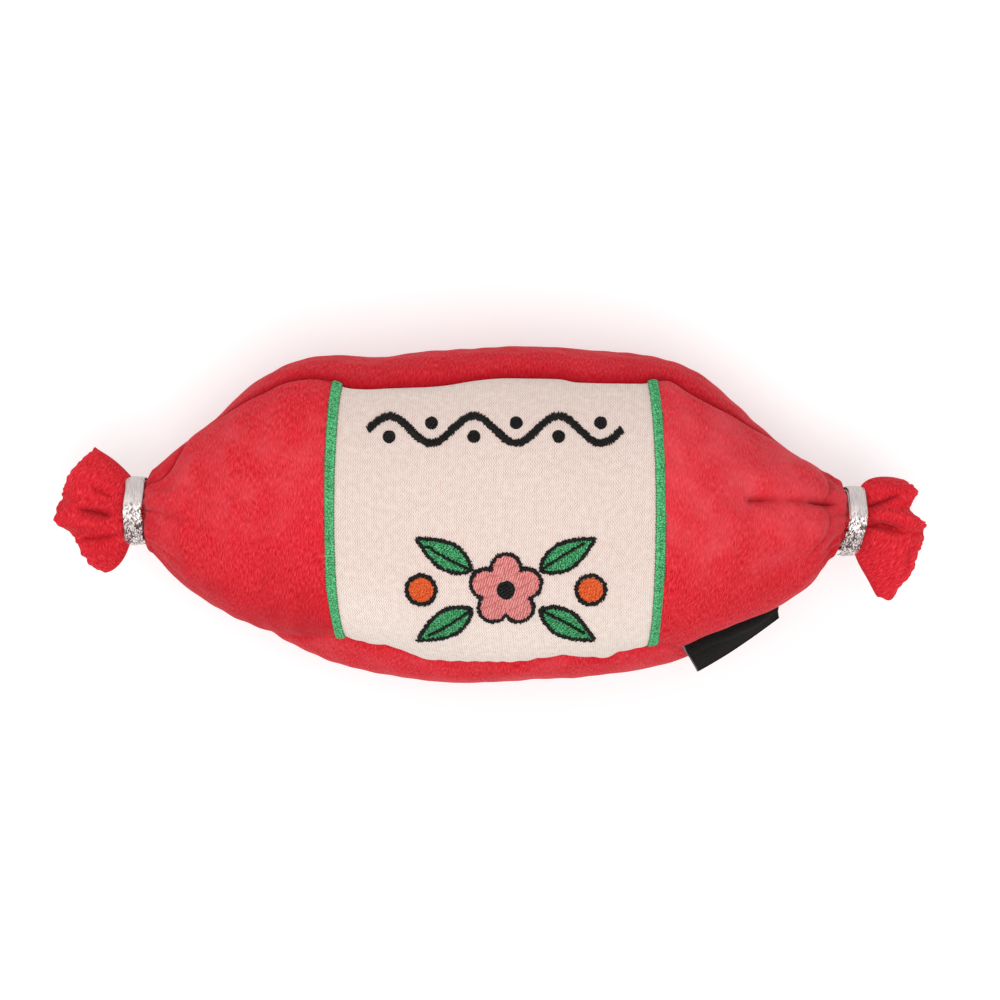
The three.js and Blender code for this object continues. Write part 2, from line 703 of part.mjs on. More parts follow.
function add(name, geometry, material) {
  const mesh = new THREE.Mesh(geometry, material);
  mesh.name = name;
  toy.add(mesh);
  return mesh;
}

add("back_panel", backPanel(), redPlush);
add("front_left_panel", frontPanel(replaced(leftPlaces, panelSteps, leftCrossSeam - halfGap)), redPlush);
add("front_label_panel", frontPanel(
  replaced(replaced(labelPlaces, 0, leftCrossSeam + halfGap), panelSteps, rightCrossSeam - halfGap),
), creamTwill);
add("front_right_panel", frontPanel(replaced(rightPlaces, 0, rightCrossSeam + halfGap)), redPlush);
add("stuffing", stuffing(), whiteFill);
add("front_crinkle_film", crinkleFilm("front", edgeSteps(frontSteps)), clearFilm);
add("back_crinkle_film", crinkleFilm("back", edgeSteps(backSteps)), clearFilm);

const leftBorderX = alongBody(leftCrossSeam) + borderMargin;
const rightBorderX = alongBody(rightCrossSeam) - borderMargin - borderWidth;
add("left_satin_border", satinBorder(leftBorderX), greenThread);
add("right_satin_border", satinBorder(rightBorderX), greenThread);

for (const end of ends) {
  const gather = add(end.name + "_neck_gather", neckGather(end), redPlush);
  gather.position.copy(end.neck);
  gather.rotation.z = (-end.side * Math.PI) / 2;

  const sections = ribbonSections(end);
  const ribbon = add(end.name + "_tie_ribbon", ringSolid(sections), silverRibbon);
  ribbon.position.copy(end.neck);
  console.log(end.name + " ribbon: least gap to itself " + leastRibbonGap(sections).toFixed(3) + " mm");

  for (const layer of ["front", "back"]) {
    const ruff = add(end.name + "_ruff_" + layer, ruffLayer(end, layer), redPlush);
    ruff.position.copy(end.neck);
    ruff.position.x += end.side * end.rootPlace;
  }
}

const tag = tagPlace();
const tagMesh = add("side_tag", tagLoop(), blackTape);
const across = new THREE.Vector3().crossVectors(tag.along, tag.out);
tagMesh.quaternion.setFromRotationMatrix(new THREE.Matrix4().makeBasis(tag.out, across, tag.along));
tagMesh.position.copy(tag.root);

add("embroidered_wave", embroidered(waveShape()), blackThread);
for (let i = 0; i < 2 * waveCount; i += 1) {
  add("embroidered_dot_" + (i + 1), embroidered(waveDotShape(i)), blackThread);
}
add("embroidered_flower", embroidered(flowerShape()), pinkThread);
add("embroidered_flower_eye", embroidered(discShape(sprayCentre, flowerEyeRadius)), blackThread);
const leafAngles = [leafSpread, Math.PI - leafSpread, Math.PI + leafSpread, -leafSpread];
leafAngles.forEach((angle, i) => {
  add("embroidered_leaf_" + (i + 1), embroidered(leafShape(angle)), greenThread);
});
[1, -1].forEach((side, i) => {
  const centre = sprayCentre.clone().add(new THREE.Vector2(side * berryDistance, 0));
  add("embroidered_berry_" + (i + 1), embroidered(discShape(centre, berryRadius)), orangeThread);
});

export default toy;
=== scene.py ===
"""A plush crinkle toy, tied at both ends like a wrapped sweet, dressed for rendering.

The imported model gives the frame: where the necks, the ties and the tag are. Everything here is in
metres. The toy lies on its back; +X runs along it, +Y to its upper long side, +Z out of the label.
"""

import json
import logging
import math
from dataclasses import dataclass, field
from enum import Enum
from typing import Callable

import bpy
import numpy as np
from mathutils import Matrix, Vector
from mathutils.bvhtree import BVHTree

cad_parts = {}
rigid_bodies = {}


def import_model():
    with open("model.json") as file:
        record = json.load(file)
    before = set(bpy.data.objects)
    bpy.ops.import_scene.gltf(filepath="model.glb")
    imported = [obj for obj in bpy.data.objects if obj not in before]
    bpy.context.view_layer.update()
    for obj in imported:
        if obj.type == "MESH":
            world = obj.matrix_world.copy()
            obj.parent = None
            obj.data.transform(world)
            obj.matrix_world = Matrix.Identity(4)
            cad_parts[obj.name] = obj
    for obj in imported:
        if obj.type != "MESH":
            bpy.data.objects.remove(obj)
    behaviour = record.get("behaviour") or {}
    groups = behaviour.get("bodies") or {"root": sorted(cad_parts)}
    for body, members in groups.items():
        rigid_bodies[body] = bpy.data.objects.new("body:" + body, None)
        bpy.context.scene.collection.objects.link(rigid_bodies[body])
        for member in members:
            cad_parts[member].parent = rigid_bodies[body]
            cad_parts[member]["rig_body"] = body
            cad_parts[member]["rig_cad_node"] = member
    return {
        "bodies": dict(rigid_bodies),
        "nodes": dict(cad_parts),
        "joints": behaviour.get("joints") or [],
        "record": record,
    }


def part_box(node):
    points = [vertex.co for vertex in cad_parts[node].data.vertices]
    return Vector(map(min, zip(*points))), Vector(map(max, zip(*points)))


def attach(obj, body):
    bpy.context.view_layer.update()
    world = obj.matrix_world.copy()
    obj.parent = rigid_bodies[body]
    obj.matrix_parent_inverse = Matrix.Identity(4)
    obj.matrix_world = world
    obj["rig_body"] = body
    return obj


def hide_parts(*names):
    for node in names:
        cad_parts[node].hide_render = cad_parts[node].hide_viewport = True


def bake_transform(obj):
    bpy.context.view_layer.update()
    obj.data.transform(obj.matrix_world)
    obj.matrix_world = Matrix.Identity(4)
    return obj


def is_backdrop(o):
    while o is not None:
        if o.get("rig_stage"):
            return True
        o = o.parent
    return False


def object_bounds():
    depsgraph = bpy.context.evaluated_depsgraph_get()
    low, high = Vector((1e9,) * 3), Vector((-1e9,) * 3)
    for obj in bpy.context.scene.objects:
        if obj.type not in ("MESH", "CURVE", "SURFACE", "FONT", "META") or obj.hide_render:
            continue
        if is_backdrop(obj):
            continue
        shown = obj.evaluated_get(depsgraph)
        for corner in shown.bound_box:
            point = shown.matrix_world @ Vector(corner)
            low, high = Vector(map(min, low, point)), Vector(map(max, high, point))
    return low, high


log = logging.getLogger("crinkle_toy")

SEED = 20
UV_NAME = "flow"
BODY = "stuffed_body"
RIPPLE_WAVES = 7
CREASE_STEPS = 40
DEEP_CREASE = 0.0026
MERGE_DISTANCE = 0.00001

Array = np.ndarray
Material = bpy.types.Material
Piece = bpy.types.Object
Socket = bpy.types.NodeSocket
Pairs = tuple[tuple[float, float], ...]
Surface = Callable[[Array, Array], Array]


class Face(Enum):
    """The two sides of the toy that a panel or layer can lie on."""

    FRONT = "front"
    BACK = "back"


class Side(Enum):
    """The two tied ends of the toy; the value is the end's direction along X."""

    LEFT = -1
    RIGHT = 1

    @property
    def word(self) -> str:
        """The end's name, as in the names of its pieces."""
        return self.name.lower()


# Curves and fields


def curve_through(pairs: Pairs, place: Array) -> Array:
    """Follows one smooth curve through given pairs of place and value.

    Args:
        pairs: Places in rising order, each with its value.
        place: Where the curve is wanted.

    Returns:
        The curve's value at each place.
    """
    xs, ys = np.array(pairs, float).T
    slopes = np.gradient(ys)
    slopes[1:-1] = (ys[2:] - ys[:-2]) / (xs[2:] - xs[:-2])
    slopes[0] = (ys[1] - ys[0]) / (xs[1] - xs[0])
    slopes[-1] = (ys[-1] - ys[-2]) / (xs[-1] - xs[-2])
    i = np.clip(np.searchsorted(xs, place, side="right") - 1, 0, len(xs) - 2)
    span = xs[i + 1] - xs[i]
    t = np.clip((place - xs[i]) / span, 0, 1)
    start = (1 + 2 * t) * (1 - t) ** 2 * ys[i] + t * (1 - t) ** 2 * span * slopes[i]
    return start + t * t * (3 - 2 * t) * ys[i + 1] + t * t * (t - 1) * span * slopes[i + 1]


def smooth_step(low: float, high: float, value: Array) -> Array:
    """Goes smoothly from 0 at low to 1 at high, which may be the lesser of the two."""
    t = np.clip((value - low) / (high - low), 0, 1)
    return t * t * (3 - 2 * t)


def quarter_round(distance: Array, reach: float) -> Array:
    """Rises from 0 at distance 0 to 1 at reach, on a quarter of an ellipse."""
    return np.sqrt(1 - np.clip(1 - distance / reach, 0, 1) ** 2)


def ripple(x: Array, y: Array, size: float, seed: int) -> Array:
    """Gives a smooth, uneven field between about -1 and 1.

    Args:
        x: First coordinate.
        y: Second coordinate.
        size: The usual width of a bump.
        seed: Which field; the same seed gives the same field.

    Returns:
        The field at each point.
    """
    draw = np.random.default_rng(SEED + seed)
    total = np.zeros(np.broadcast(x, y).shape)
    for _ in range(RIPPLE_WAVES):
        heading = draw.uniform(0, math.pi)
        pitch = size * draw.uniform(1.4, 3.2)
        phase = draw.uniform(0, math.tau)
        total += np.sin(math.tau * (x * math.cos(heading) + y * math.sin(heading)) / pitch + phase)
    return total / math.sqrt(RIPPLE_WAVES) / 1.4


def grid_normals(points: Array) -> Array:
    """Gives the unit normal at each point of a grid of points, out of its first two axes."""
    along = np.gradient(points, axis=0)
    across = np.gradient(points, axis=1)
    normal = np.cross(along, across)
    return normal / np.maximum(np.linalg.norm(normal, axis=-1, keepdims=True), 1e-12)


def lengths_along(path: Array) -> Array:
    """Adds up a path's lengths from its first point."""
    return np.concatenate([[0], np.cumsum(np.linalg.norm(np.diff(path, axis=0), axis=1))])


def points_along(path: Array, places: Array, wanted: Array) -> Array:
    """Gives a path's points at the wanted places, where places says how far along each of its points is."""
    return np.stack([np.interp(wanted, places, path[:, k]) for k in range(path.shape[1])], axis=-1)


def direction(angle: float) -> Array:
    """The unit direction at an angle, seen from the front."""
    return np.array([math.cos(angle), math.sin(angle)])


def left_of(run: Array) -> Array:
    """Turns directions a quarter turn to the left."""
    return np.stack([-run[..., 1], run[..., 0]], axis=-1)


@dataclass(frozen=True)
class Crease:
    """A valley pressed into cloth along a smooth line seen from the front."""

    line: Pairs
    depth: float
    width: float
    fade: float = 0.3
    tail: float = 0.0

    def press(self, x: Array, y: Array) -> Array:
        """Gives how deep the crease presses at each point."""
        share = np.linspace(0, 1, CREASE_STEPS + 1)
        knots = np.linspace(0, 1, len(self.line))
        xs = curve_through(tuple(zip(knots, [p[0] for p in self.line])), share)
        ys = curve_through(tuple(zip(knots, [p[1] for p in self.line])), share)
        nearest = np.full(x.shape, np.inf)
        at = np.zeros(x.shape)
        for k in range(CREASE_STEPS):
            step = np.array([xs[k + 1] - xs[k], ys[k + 1] - ys[k]])
            t = np.clip(((x - xs[k]) * step[0] + (y - ys[k]) * step[1]) / (step @ step), 0, 1)
            away = np.hypot(x - xs[k] - t * step[0], y - ys[k] - t * step[1])
            closer = away < nearest
            nearest = np.where(closer, away, nearest)
            at = np.where(closer, (k + t) / CREASE_STEPS, at)
        taper = smooth_step(0, self.fade, at) * (smooth_step(1, 1 - self.tail, at) if self.tail else 1)
        return self.depth * taper * (1 - quarter_round(np.minimum(nearest, self.width), self.width))


@dataclass(frozen=True)
class Bulge:
    """A soft rise in cloth, round or oval; a negative height makes a dimple."""

    x: float
    y: float
    reach_x: float
    reach_y: float
    height: float
    firmness: float = 1.0

    def rise(self, x: Array, y: Array) -> Array:
        """Gives how high the bulge stands at each point; a firm one has a flat top and steep sides."""
        away = ((x - self.x) / self.reach_x) ** 2 + ((y - self.y) / self.reach_y) ** 2
        return self.height * np.exp(-(away**self.firmness))


def crease_shade(pressed: Array) -> Array:
    """Turns how deep creases press into a shade: 0 where the cloth is flat, 1 in a deep crease."""
    return (pressed / DEEP_CREASE) ** 1.2


# Modelling steps


def deselect_all() -> None:
    """Deselects every object, so that an operator acts only on what is chosen next."""
    bpy.ops.object.select_all(action="DESELECT")


def choose(obj: Piece) -> None:
    """Makes obj the one selected and active object."""
    deselect_all()
    obj.select_set(True)
    bpy.context.view_layer.objects.active = obj


def apply_modifiers(obj: Piece) -> None:
    """Applies every modifier of obj in order."""
    choose(obj)
    for modifier in list(obj.modifiers):
        bpy.ops.object.modifier_apply(modifier=modifier.name)


def write_flow(mesh: bpy.types.Mesh, layer: bpy.types.MeshUVLoopLayer, flow: Array) -> None:
    """Writes a pair of lengths for each point of a mesh into its UV map."""
    loops = np.empty(len(mesh.loops), int)
    mesh.loops.foreach_get("vertex_index", loops)
    layer.data.foreach_set("uv", flow[loops].ravel())


def write_mark(mesh: bpy.types.Mesh, name: str, values: Array) -> None:
    """Writes a named value for each point of a mesh, which the piece's finish reads."""
    mark = mesh.attributes.new(name, "FLOAT", "POINT")
    mark.data.foreach_set("value", values.astype(np.float32).ravel())


def sheet_grid(name: str, columns: int, rows: int, surface: Surface, origin: tuple[float, float] = (0.5, 0.5),
               marks: dict[str, Surface] | None = None) -> Piece:
    """Adds a flat grid and moves its corners onto a surface.

    Args:
        name: The new piece's name.
        columns: Cells along the surface's first direction.
        rows: Cells along its second direction.
        surface: Gives the points for shares 0 to 1 in both directions.
        origin: The shares at which the UV lengths start.
        marks: Named values that the piece's finish reads, as surfaces of numbers.

    Returns:
        The grid, with a UV map of lengths in metres along its two directions.
    """
    deselect_all()
    bpy.ops.mesh.primitive_grid_add(x_subdivisions=columns, y_subdivisions=rows, size=1)
    obj = bpy.context.active_object
    obj.name = name
    mesh = obj.data
    mesh.name = name
    corners = np.empty(len(mesh.vertices) * 3)
    mesh.vertices.foreach_get("co", corners)
    corners = corners.reshape(-1, 3)
    column = np.rint((corners[:, 0] + 0.5) * columns).astype(int)
    row = np.rint((corners[:, 1] + 0.5) * rows).astype(int)
    s, t = np.meshgrid(np.linspace(0, 1, columns + 1), np.linspace(0, 1, rows + 1), indexing="ij")
    points = surface(s, t)
    mesh.vertices.foreach_set("co", points[column, row].ravel())

    def lengths(axis: int) -> Array:
        """Adds up the grid's lengths along one direction, from its origin line."""
        steps = np.linalg.norm(np.diff(points, axis=axis), axis=-1)
        total = np.concatenate([np.zeros_like(np.take(steps, [0], axis)), np.cumsum(steps, axis)], axis)
        return total - np.take(total, [round(origin[axis] * (total.shape[axis] - 1))], axis)

    layer = mesh.uv_layers.active
    layer.name = UV_NAME
    write_flow(mesh, layer, np.stack([lengths(0), lengths(1)], axis=-1)[column, row])
    for key, values in (marks or {}).items():
        write_mark(mesh, key, values(s, t)[column, row])
    mesh.update()
    return obj


def smooth_faces(obj: Piece, count: int | None = None) -> None:
    """Shades the first count faces of a piece smooth, or all of them, and the rest flat."""
    smooth = np.zeros(len(obj.data.polygons), bool)
    smooth[:count] = True
    obj.data.polygons.foreach_set("use_smooth", smooth)


def add_wall(obj: Piece, thickness: float) -> None:
    """Adds a wall below a sheet's outer side."""
    wall = obj.modifiers.new("wall", "SOLIDIFY")
    wall.thickness = thickness
    wall.offset = -1


def add_rounding(obj: Piece, levels: int) -> None:
    """Adds levels of subdivision."""
    smooth = obj.modifiers.new("smooth", "SUBSURF")
    smooth.levels = levels
    smooth.render_levels = levels


def line_cloth(obj: Piece, thickness: float) -> None:
    """Finishes a cut panel: rounds its outer side, then gives it a square-cut wall."""
    add_rounding(obj, 1)
    apply_modifiers(obj)
    faces = len(obj.data.polygons)
    add_wall(obj, thickness)
    apply_modifiers(obj)
    smooth_faces(obj, 2 * faces)


def thicken(obj: Piece, thickness: float, levels: int) -> None:
    """Gives a sheet its thickness, below its outer side, and rounds the whole of it."""
    add_wall(obj, thickness)
    if levels:
        add_rounding(obj, levels)
    apply_modifiers(obj)
    smooth_faces(obj)


def mesh_piece(name: str, points: Array, faces: list[tuple[int, ...]]) -> Piece:
    """Makes a smooth-shaded object from points and faces."""
    mesh = bpy.data.meshes.new(name)
    mesh.from_pydata(points.tolist(), [], faces)
    obj = bpy.data.objects.new(name, mesh)
    bpy.context.scene.collection.objects.link(obj)
    smooth_faces(obj)
    return obj


def dress(obj: Piece, material: Material) -> None:
    """Gives a piece one material in place of any that it has."""
    obj.data.materials.clear()
    obj.data.materials.append(material)


def fasten(obj: Piece, material: Material, body: str, slot: str, *nodes: str) -> None:
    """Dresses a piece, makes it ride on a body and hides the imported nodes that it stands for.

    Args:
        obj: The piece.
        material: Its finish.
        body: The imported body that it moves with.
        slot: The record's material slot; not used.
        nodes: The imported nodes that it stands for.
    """
    dress(obj, material)
    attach(obj, body)
    if nodes:
        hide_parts(*nodes)
    log.info("%s rides on %s, %d faces", obj.name, body, len(obj.data.polygons))


def bend_into(obj: Piece, material: Material, bodies: tuple[str, str], node: str) -> None:
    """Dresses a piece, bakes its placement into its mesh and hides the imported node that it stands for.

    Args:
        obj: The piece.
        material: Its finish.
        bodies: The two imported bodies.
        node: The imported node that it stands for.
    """
    dress(obj, material)
    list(bodies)
    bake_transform(obj)
    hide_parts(node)
    log.info("%s bends into %s, %d faces", obj.name, bodies[1], len(obj.data.polygons))


# Shader building


def tint(red: int, green: int, blue: int) -> tuple[float, float, float, float]:
    """Turns a colour as written on a screen, 0 to 255, into the renderer's linear colour."""
    shares = [value / 255 for value in (red, green, blue)]
    linear = [v / 12.92 if v <= 0.04045 else ((v + 0.055) / 1.055) ** 2.4 for v in shares]
    return (*linear, 1.0)


class Nodes:
    """A small helper that adds and joins the nodes of one material or group."""

    def __init__(self, tree: bpy.types.NodeTree) -> None:
        """Starts on an emptied tree."""
        self.tree = tree
        tree.nodes.clear()

    def add(self, kind: str, inputs: dict | None = None, **settings: object) -> bpy.types.Node:
        """Adds a node.

        Args:
            kind: Its type, such as ShaderNodeMath.
            inputs: Values or output sockets for its inputs, by name or number.
            settings: The node's own settings.

        Returns:
            The node.
        """
        node = self.tree.nodes.new(kind)
        for name, value in settings.items():
            setattr(node, name, value)
        for key, value in (inputs or {}).items():
            self.join(value, node.inputs[key])
        return node

    def join(self, value: object, socket: Socket) -> None:
        """Joins an output to a socket, or sets a plain value on it."""
        if isinstance(value, Socket):
            self.tree.links.new(value, socket)
        else:
            socket.default_value = value

    def flow(self) -> Socket:
        """The piece's own UV lengths."""
        return self.add("ShaderNodeUVMap", uv_map=UV_NAME).outputs[0]

    def mark(self, name: str) -> Socket:
        """A value that the piece's mesh carries."""
        return self.add("ShaderNodeAttribute", attribute_name=name).outputs["Fac"]

    def noise(self, vector: Socket, scale: object, detail: float) -> bpy.types.Node:
        """Adds an uneven field between 0 and 1."""
        return self.add("ShaderNodeTexNoise", {"Vector": vector, "Scale": scale, "Detail": detail})

    def bump(self, shader: bpy.types.Node, height: Socket, distance: float, strength: float) -> None:
        """Joins a height to a shader's normal."""
        bump = self.add("ShaderNodeBump", {"Height": height, "Distance": distance, "Strength": strength})
        self.join(bump.outputs[0], shader.inputs["Normal"])

    def place(self, tree: bpy.types.NodeTree, vector: Socket, **sizes: float) -> bpy.types.NodeOutputs:
        """Places a shared group over some coordinates and returns its outputs."""
        return self.add("ShaderNodeGroup", {"Vector": vector, **sizes}, node_tree=tree).outputs

    def math(self, operation: str, first: object, second: object = 0.0) -> Socket:
        """Adds a Math node and returns its value."""
        return self.add("ShaderNodeMath", {0: first, 1: second}, operation=operation).outputs[0]

    def ramp(self, value: Socket, low: float, high: float) -> Socket:
        """Maps a value smoothly to 0 at low and 1 at high."""
        node = self.add("ShaderNodeMapRange", {"Value": value, "From Min": low, "From Max": high})
        node.interpolation_type = "SMOOTHSTEP"
        return node.outputs["Result"]

    def blend(self, share: object, first: object, second: object) -> Socket:
        """Mixes two colours and returns the mix."""
        inputs = {0: share, 6: first, 7: second}
        return self.add("ShaderNodeMix", inputs, data_type="RGBA", blend_type="MIX").outputs[2]


def new_group(name: str, inputs: dict[str, float], outputs: tuple[str, ...]) -> Nodes:
    """Starts a shader group with named float inputs and outputs and one vector input.

    Args:
        name: The group's name.
        inputs: Its float inputs with their usual values.
        outputs: Its float outputs.

    Returns:
        A helper on the group's tree.
    """
    group = bpy.data.node_groups.new(name, "ShaderNodeTree")
    group.interface.new_socket("Vector", in_out="INPUT", socket_type="NodeSocketVector")
    for key, value in inputs.items():
        socket = group.interface.new_socket(key, in_out="INPUT", socket_type="NodeSocketFloat")
        socket.default_value = value
    for key in outputs:
        group.interface.new_socket(key, in_out="OUTPUT", socket_type="NodeSocketFloat")
    return Nodes(group)


class Effects:
    """The shader groups that several finishes share."""

    def __init__(self) -> None:
        """Builds each group once."""
        self.strokes = self._strokes()
        self.weave = self._weave()

    def _strokes(self) -> bpy.types.NodeTree:
        """Short brushed strokes, as of pile or of a thread's plies, with broad uneven patches."""
        sizes = {"Length": 0.0016, "Width": 0.0004, "Patch": 0.014}
        nodes = new_group("brushed strokes", sizes, ("Fine", "Broad"))
        given = nodes.add("NodeGroupInput").outputs
        broad_scale = nodes.math("DIVIDE", 1.0, given["Patch"])
        patches = nodes.noise(given["Vector"], broad_scale, 3.0)
        centred = {0: patches.outputs["Color"], 1: (0.5, 0.5, 0.5)}
        sway = nodes.add("ShaderNodeVectorMath", centred, operation="SUBTRACT")
        reach = nodes.math("MULTIPLY", given["Patch"], 0.28)
        swing = nodes.add("ShaderNodeVectorMath", {0: sway.outputs[0], "Scale": reach}, operation="SCALE")
        moved = nodes.add("ShaderNodeVectorMath", {0: given["Vector"], 1: swing.outputs[0]}, operation="ADD")
        parts = nodes.add("ShaderNodeSeparateXYZ", {0: moved.outputs[0]}).outputs
        across = nodes.math("DIVIDE", parts[0], given["Width"])
        along = nodes.math("DIVIDE", parts[1], given["Length"])
        stretched = nodes.add("ShaderNodeCombineXYZ", {0: across, 1: along}).outputs[0]
        fine = nodes.noise(stretched, 1.0, 3.0)
        fine.inputs["Roughness"].default_value = 0.55
        nodes.add("NodeGroupOutput", {"Fine": fine.outputs[0], "Broad": patches.outputs[0]})
        return nodes.tree

    def _weave(self) -> bpy.types.NodeTree:
        """A woven cloth: rows of floats, slanted or in zigzags, that rise over the threads they cross."""
        sizes = {"Pitch": 0.0006, "Row": 0.0008, "Slant": 0.0, "Zigzag": 0.0, "Filled": 0.0}
        nodes = new_group("woven floats", sizes, ("Height", "Float"))
        given = nodes.add("NodeGroupInput").outputs
        parts = nodes.add("ShaderNodeSeparateXYZ", {0: given["Vector"]}).outputs
        row = nodes.math("DIVIDE", parts[1], given["Row"])
        shifted = nodes.math("ADD", parts[0], nodes.math("MULTIPLY", parts[1], given["Slant"]))
        zigzag = nodes.math("MULTIPLY", nodes.math("PINGPONG", row, 1.0), given["Zigzag"])
        column = nodes.math("ADD", nodes.math("DIVIDE", shifted, given["Pitch"]), zigzag)
        warp = nodes.ramp(nodes.math("SINE", nodes.math("MULTIPLY", column, math.tau)), -0.5, 0.9)
        weft = nodes.ramp(nodes.math("SINE", nodes.math("MULTIPLY", row, 4 * math.pi)), -0.9, 0.6)
        raised = nodes.math("MULTIPLY", warp, nodes.math("MAXIMUM", weft, given["Filled"]))
        nodes.add("NodeGroupOutput", {"Height": raised, "Float": nodes.math("SUBTRACT", 1.0, raised)})
        return nodes.tree


class Finish:
    """Common parts of every finish: a material with a Principled shader."""

    def start(self, name: str, plain: dict[str, object]) -> tuple[Material, Nodes, bpy.types.Node]:
        """Makes a material with its Principled shader joined to the output.

        Args:
            name: The material's name.
            plain: Values that are the same all over, set on the shader's own sockets.

        Returns:
            The material, its node helper and the shader.
        """
        material = bpy.data.materials.new(name)
        material.use_nodes = True
        nodes = Nodes(material.node_tree)
        shader = nodes.add("ShaderNodeBsdfPrincipled", plain)
        nodes.add("ShaderNodeOutputMaterial", {"Surface": shader.outputs[0]})
        return material, nodes, shader


@dataclass(frozen=True)
class Plush(Finish):
    """Short brushed pile on knitted cloth, with painted light and shade by its lay and in its folds."""

    deepest: tuple = tint(158, 8, 22)
    shadow: tuple = tint(190, 22, 36)
    body: tuple = tint(230, 46, 57)
    crest: tuple = tint(248, 100, 109)
    stroke_length: float = 0.0020
    stroke_width: float = 0.00046
    patch: float = 0.013
    slant: float = math.radians(9)
    relief: float = 0.00034
    patch_contrast: float = 1.5
    nap_range: float = 1.2
    crest_share: float = 0.5
    lit_share: float = 0.6
    shadow_share: float = 0.65
    fold_share: float = 0.8

    def material(self, effects: Effects) -> Material:
        """Builds the material."""
        plain = {
            "Roughness": 0.95,
            "Sheen Weight": 0.5,
            "Sheen Roughness": 0.35,
            "Sheen Tint": tint(255, 150, 154),
            "Specular IOR Level": 0.05,
        }
        material, nodes, shader = self.start("red plush", plain)
        leaning = nodes.add("ShaderNodeMapping", {"Vector": nodes.flow(), "Rotation": (0.0, 0.0, self.slant)})
        pile = nodes.place(effects.strokes, leaning.outputs[0],
                           Length=self.stroke_length, Width=self.stroke_width, Patch=self.patch)
        bright = nodes.math("MULTIPLY", nodes.ramp(pile["Fine"], 0.5, 0.74), self.crest_share)
        lower = nodes.blend(nodes.ramp(pile["Fine"], 0.28, 0.56), self.shadow, self.body)
        strokes = nodes.blend(bright, lower, self.crest)
        broad = nodes.math("MULTIPLY", nodes.math("SUBTRACT", pile["Broad"], 0.5), self.patch_contrast)
        # painted light and shade: the pile's random patches plus the mark of painted light; above 0 towards
        # the lit crest colour, below 0 towards the shadow colour
        lay_and_painted_light = nodes.math("ADD", broad, nodes.mark("nap"))
        with_light = nodes.math("MULTIPLY", nodes.ramp(lay_and_painted_light, 0.0, self.nap_range), self.lit_share)
        lighter = nodes.blend(with_light, strokes, self.crest)
        against = nodes.ramp(nodes.math("MULTIPLY", lay_and_painted_light, -1.0), 0.0, self.nap_range)
        darker = nodes.blend(nodes.math("MULTIPLY", against, self.shadow_share), lighter, self.shadow)
        # painted shade: the fold mark darkens creases, the seams and the cloth by the ties towards the
        # painted shade colour
        folded = nodes.math("MULTIPLY", nodes.mark("fold"), self.fold_share)
        colour = nodes.blend(folded, darker, self.deepest)
        nodes.join(colour, shader.inputs["Base Color"])
        nodes.bump(shader, pile["Fine"], self.relief, 0.9)
        return material


@dataclass(frozen=True)
class Twill(Finish):
    """Smooth pale cotton with zigzag columns of tiny pink floats."""

    cloth: tuple = tint(242, 224, 214)
    lit: tuple = tint(254, 241, 230)
    fleck: tuple = tint(178, 114, 104)
    pitch: float = 0.00077
    row: float = 0.00066
    fleck_scale: float = 520.0

    def material(self, effects: Effects) -> Material:
        """Builds the material."""
        plain = {"Roughness": 0.8, "Sheen Weight": 0.15, "Sheen Roughness": 0.5, "Specular IOR Level": 0.2}
        material, nodes, shader = self.start("cream twill", plain)
        flow = nodes.flow()
        weave = nodes.place(effects.weave, flow, Pitch=self.pitch, Row=self.row, Zigzag=0.7, Filled=0.25)
        uneven = nodes.noise(flow, self.fleck_scale, 3.0).outputs[0]
        flecks = nodes.math("MULTIPLY", weave["Height"], nodes.ramp(uneven, 0.1, 0.8))
        # painted light: the label is lighter towards its lower edge, by the mark of painted light
        cloth = nodes.blend(nodes.mark("nap"), self.cloth, self.lit)
        colour = nodes.blend(nodes.math("MULTIPLY", flecks, 0.9), cloth, self.fleck)
        nodes.join(colour, shader.inputs["Base Color"])
        nodes.bump(shader, weave["Height"], 0.00014, 0.6)
        return material


@dataclass(frozen=True)
class Thread(Finish):
    """Shiny rayon embroidery thread, laid stitch beside stitch."""

    name: str
    dark: tuple
    light: tuple
    pierced: tuple = tint(84, 26, 22)
    edge_glow: float = 0.0
    strand_share: float = 0.5
    glint: float = 2300.0

    def material(self, effects: Effects) -> Material:
        """Builds the material."""
        plain = {"Roughness": 0.42, "Specular IOR Level": 0.2, "Anisotropic": 0.5}
        material, nodes, shader = self.start(self.name, plain)
        plies = nodes.place(effects.strokes, nodes.flow(), Length=0.0009, Width=0.0002, Patch=0.004)
        spot = nodes.add("ShaderNodeTexCoord").outputs["Object"]
        # painted glints: small bright flecks where the thread catches the light
        painted_glints = nodes.ramp(nodes.noise(spot, self.glint, 1.0).outputs[0], 0.42, 0.64)
        own = nodes.math("MULTIPLY", nodes.mark("tone"), self.strand_share)
        spread = nodes.math("ADD", own, nodes.math("MULTIPLY", painted_glints, 1.0 - self.strand_share))
        # painted highlight: each strand is lighter towards its ends, as the rounded satin border catches the
        # light
        glow = nodes.math("ADD", spread, nodes.math("MULTIPLY", nodes.mark("rim"), self.edge_glow))
        # painted shade in the needle holes at both ends of some strands
        holes = nodes.ramp(nodes.mark("pierce"), 0.35, 0.9)
        colour = nodes.blend(holes, nodes.blend(glow, self.dark, self.light), self.pierced)
        nodes.join(colour, shader.inputs["Base Color"])
        nodes.bump(shader, plies["Fine"], 0.00008, 0.6)
        return material


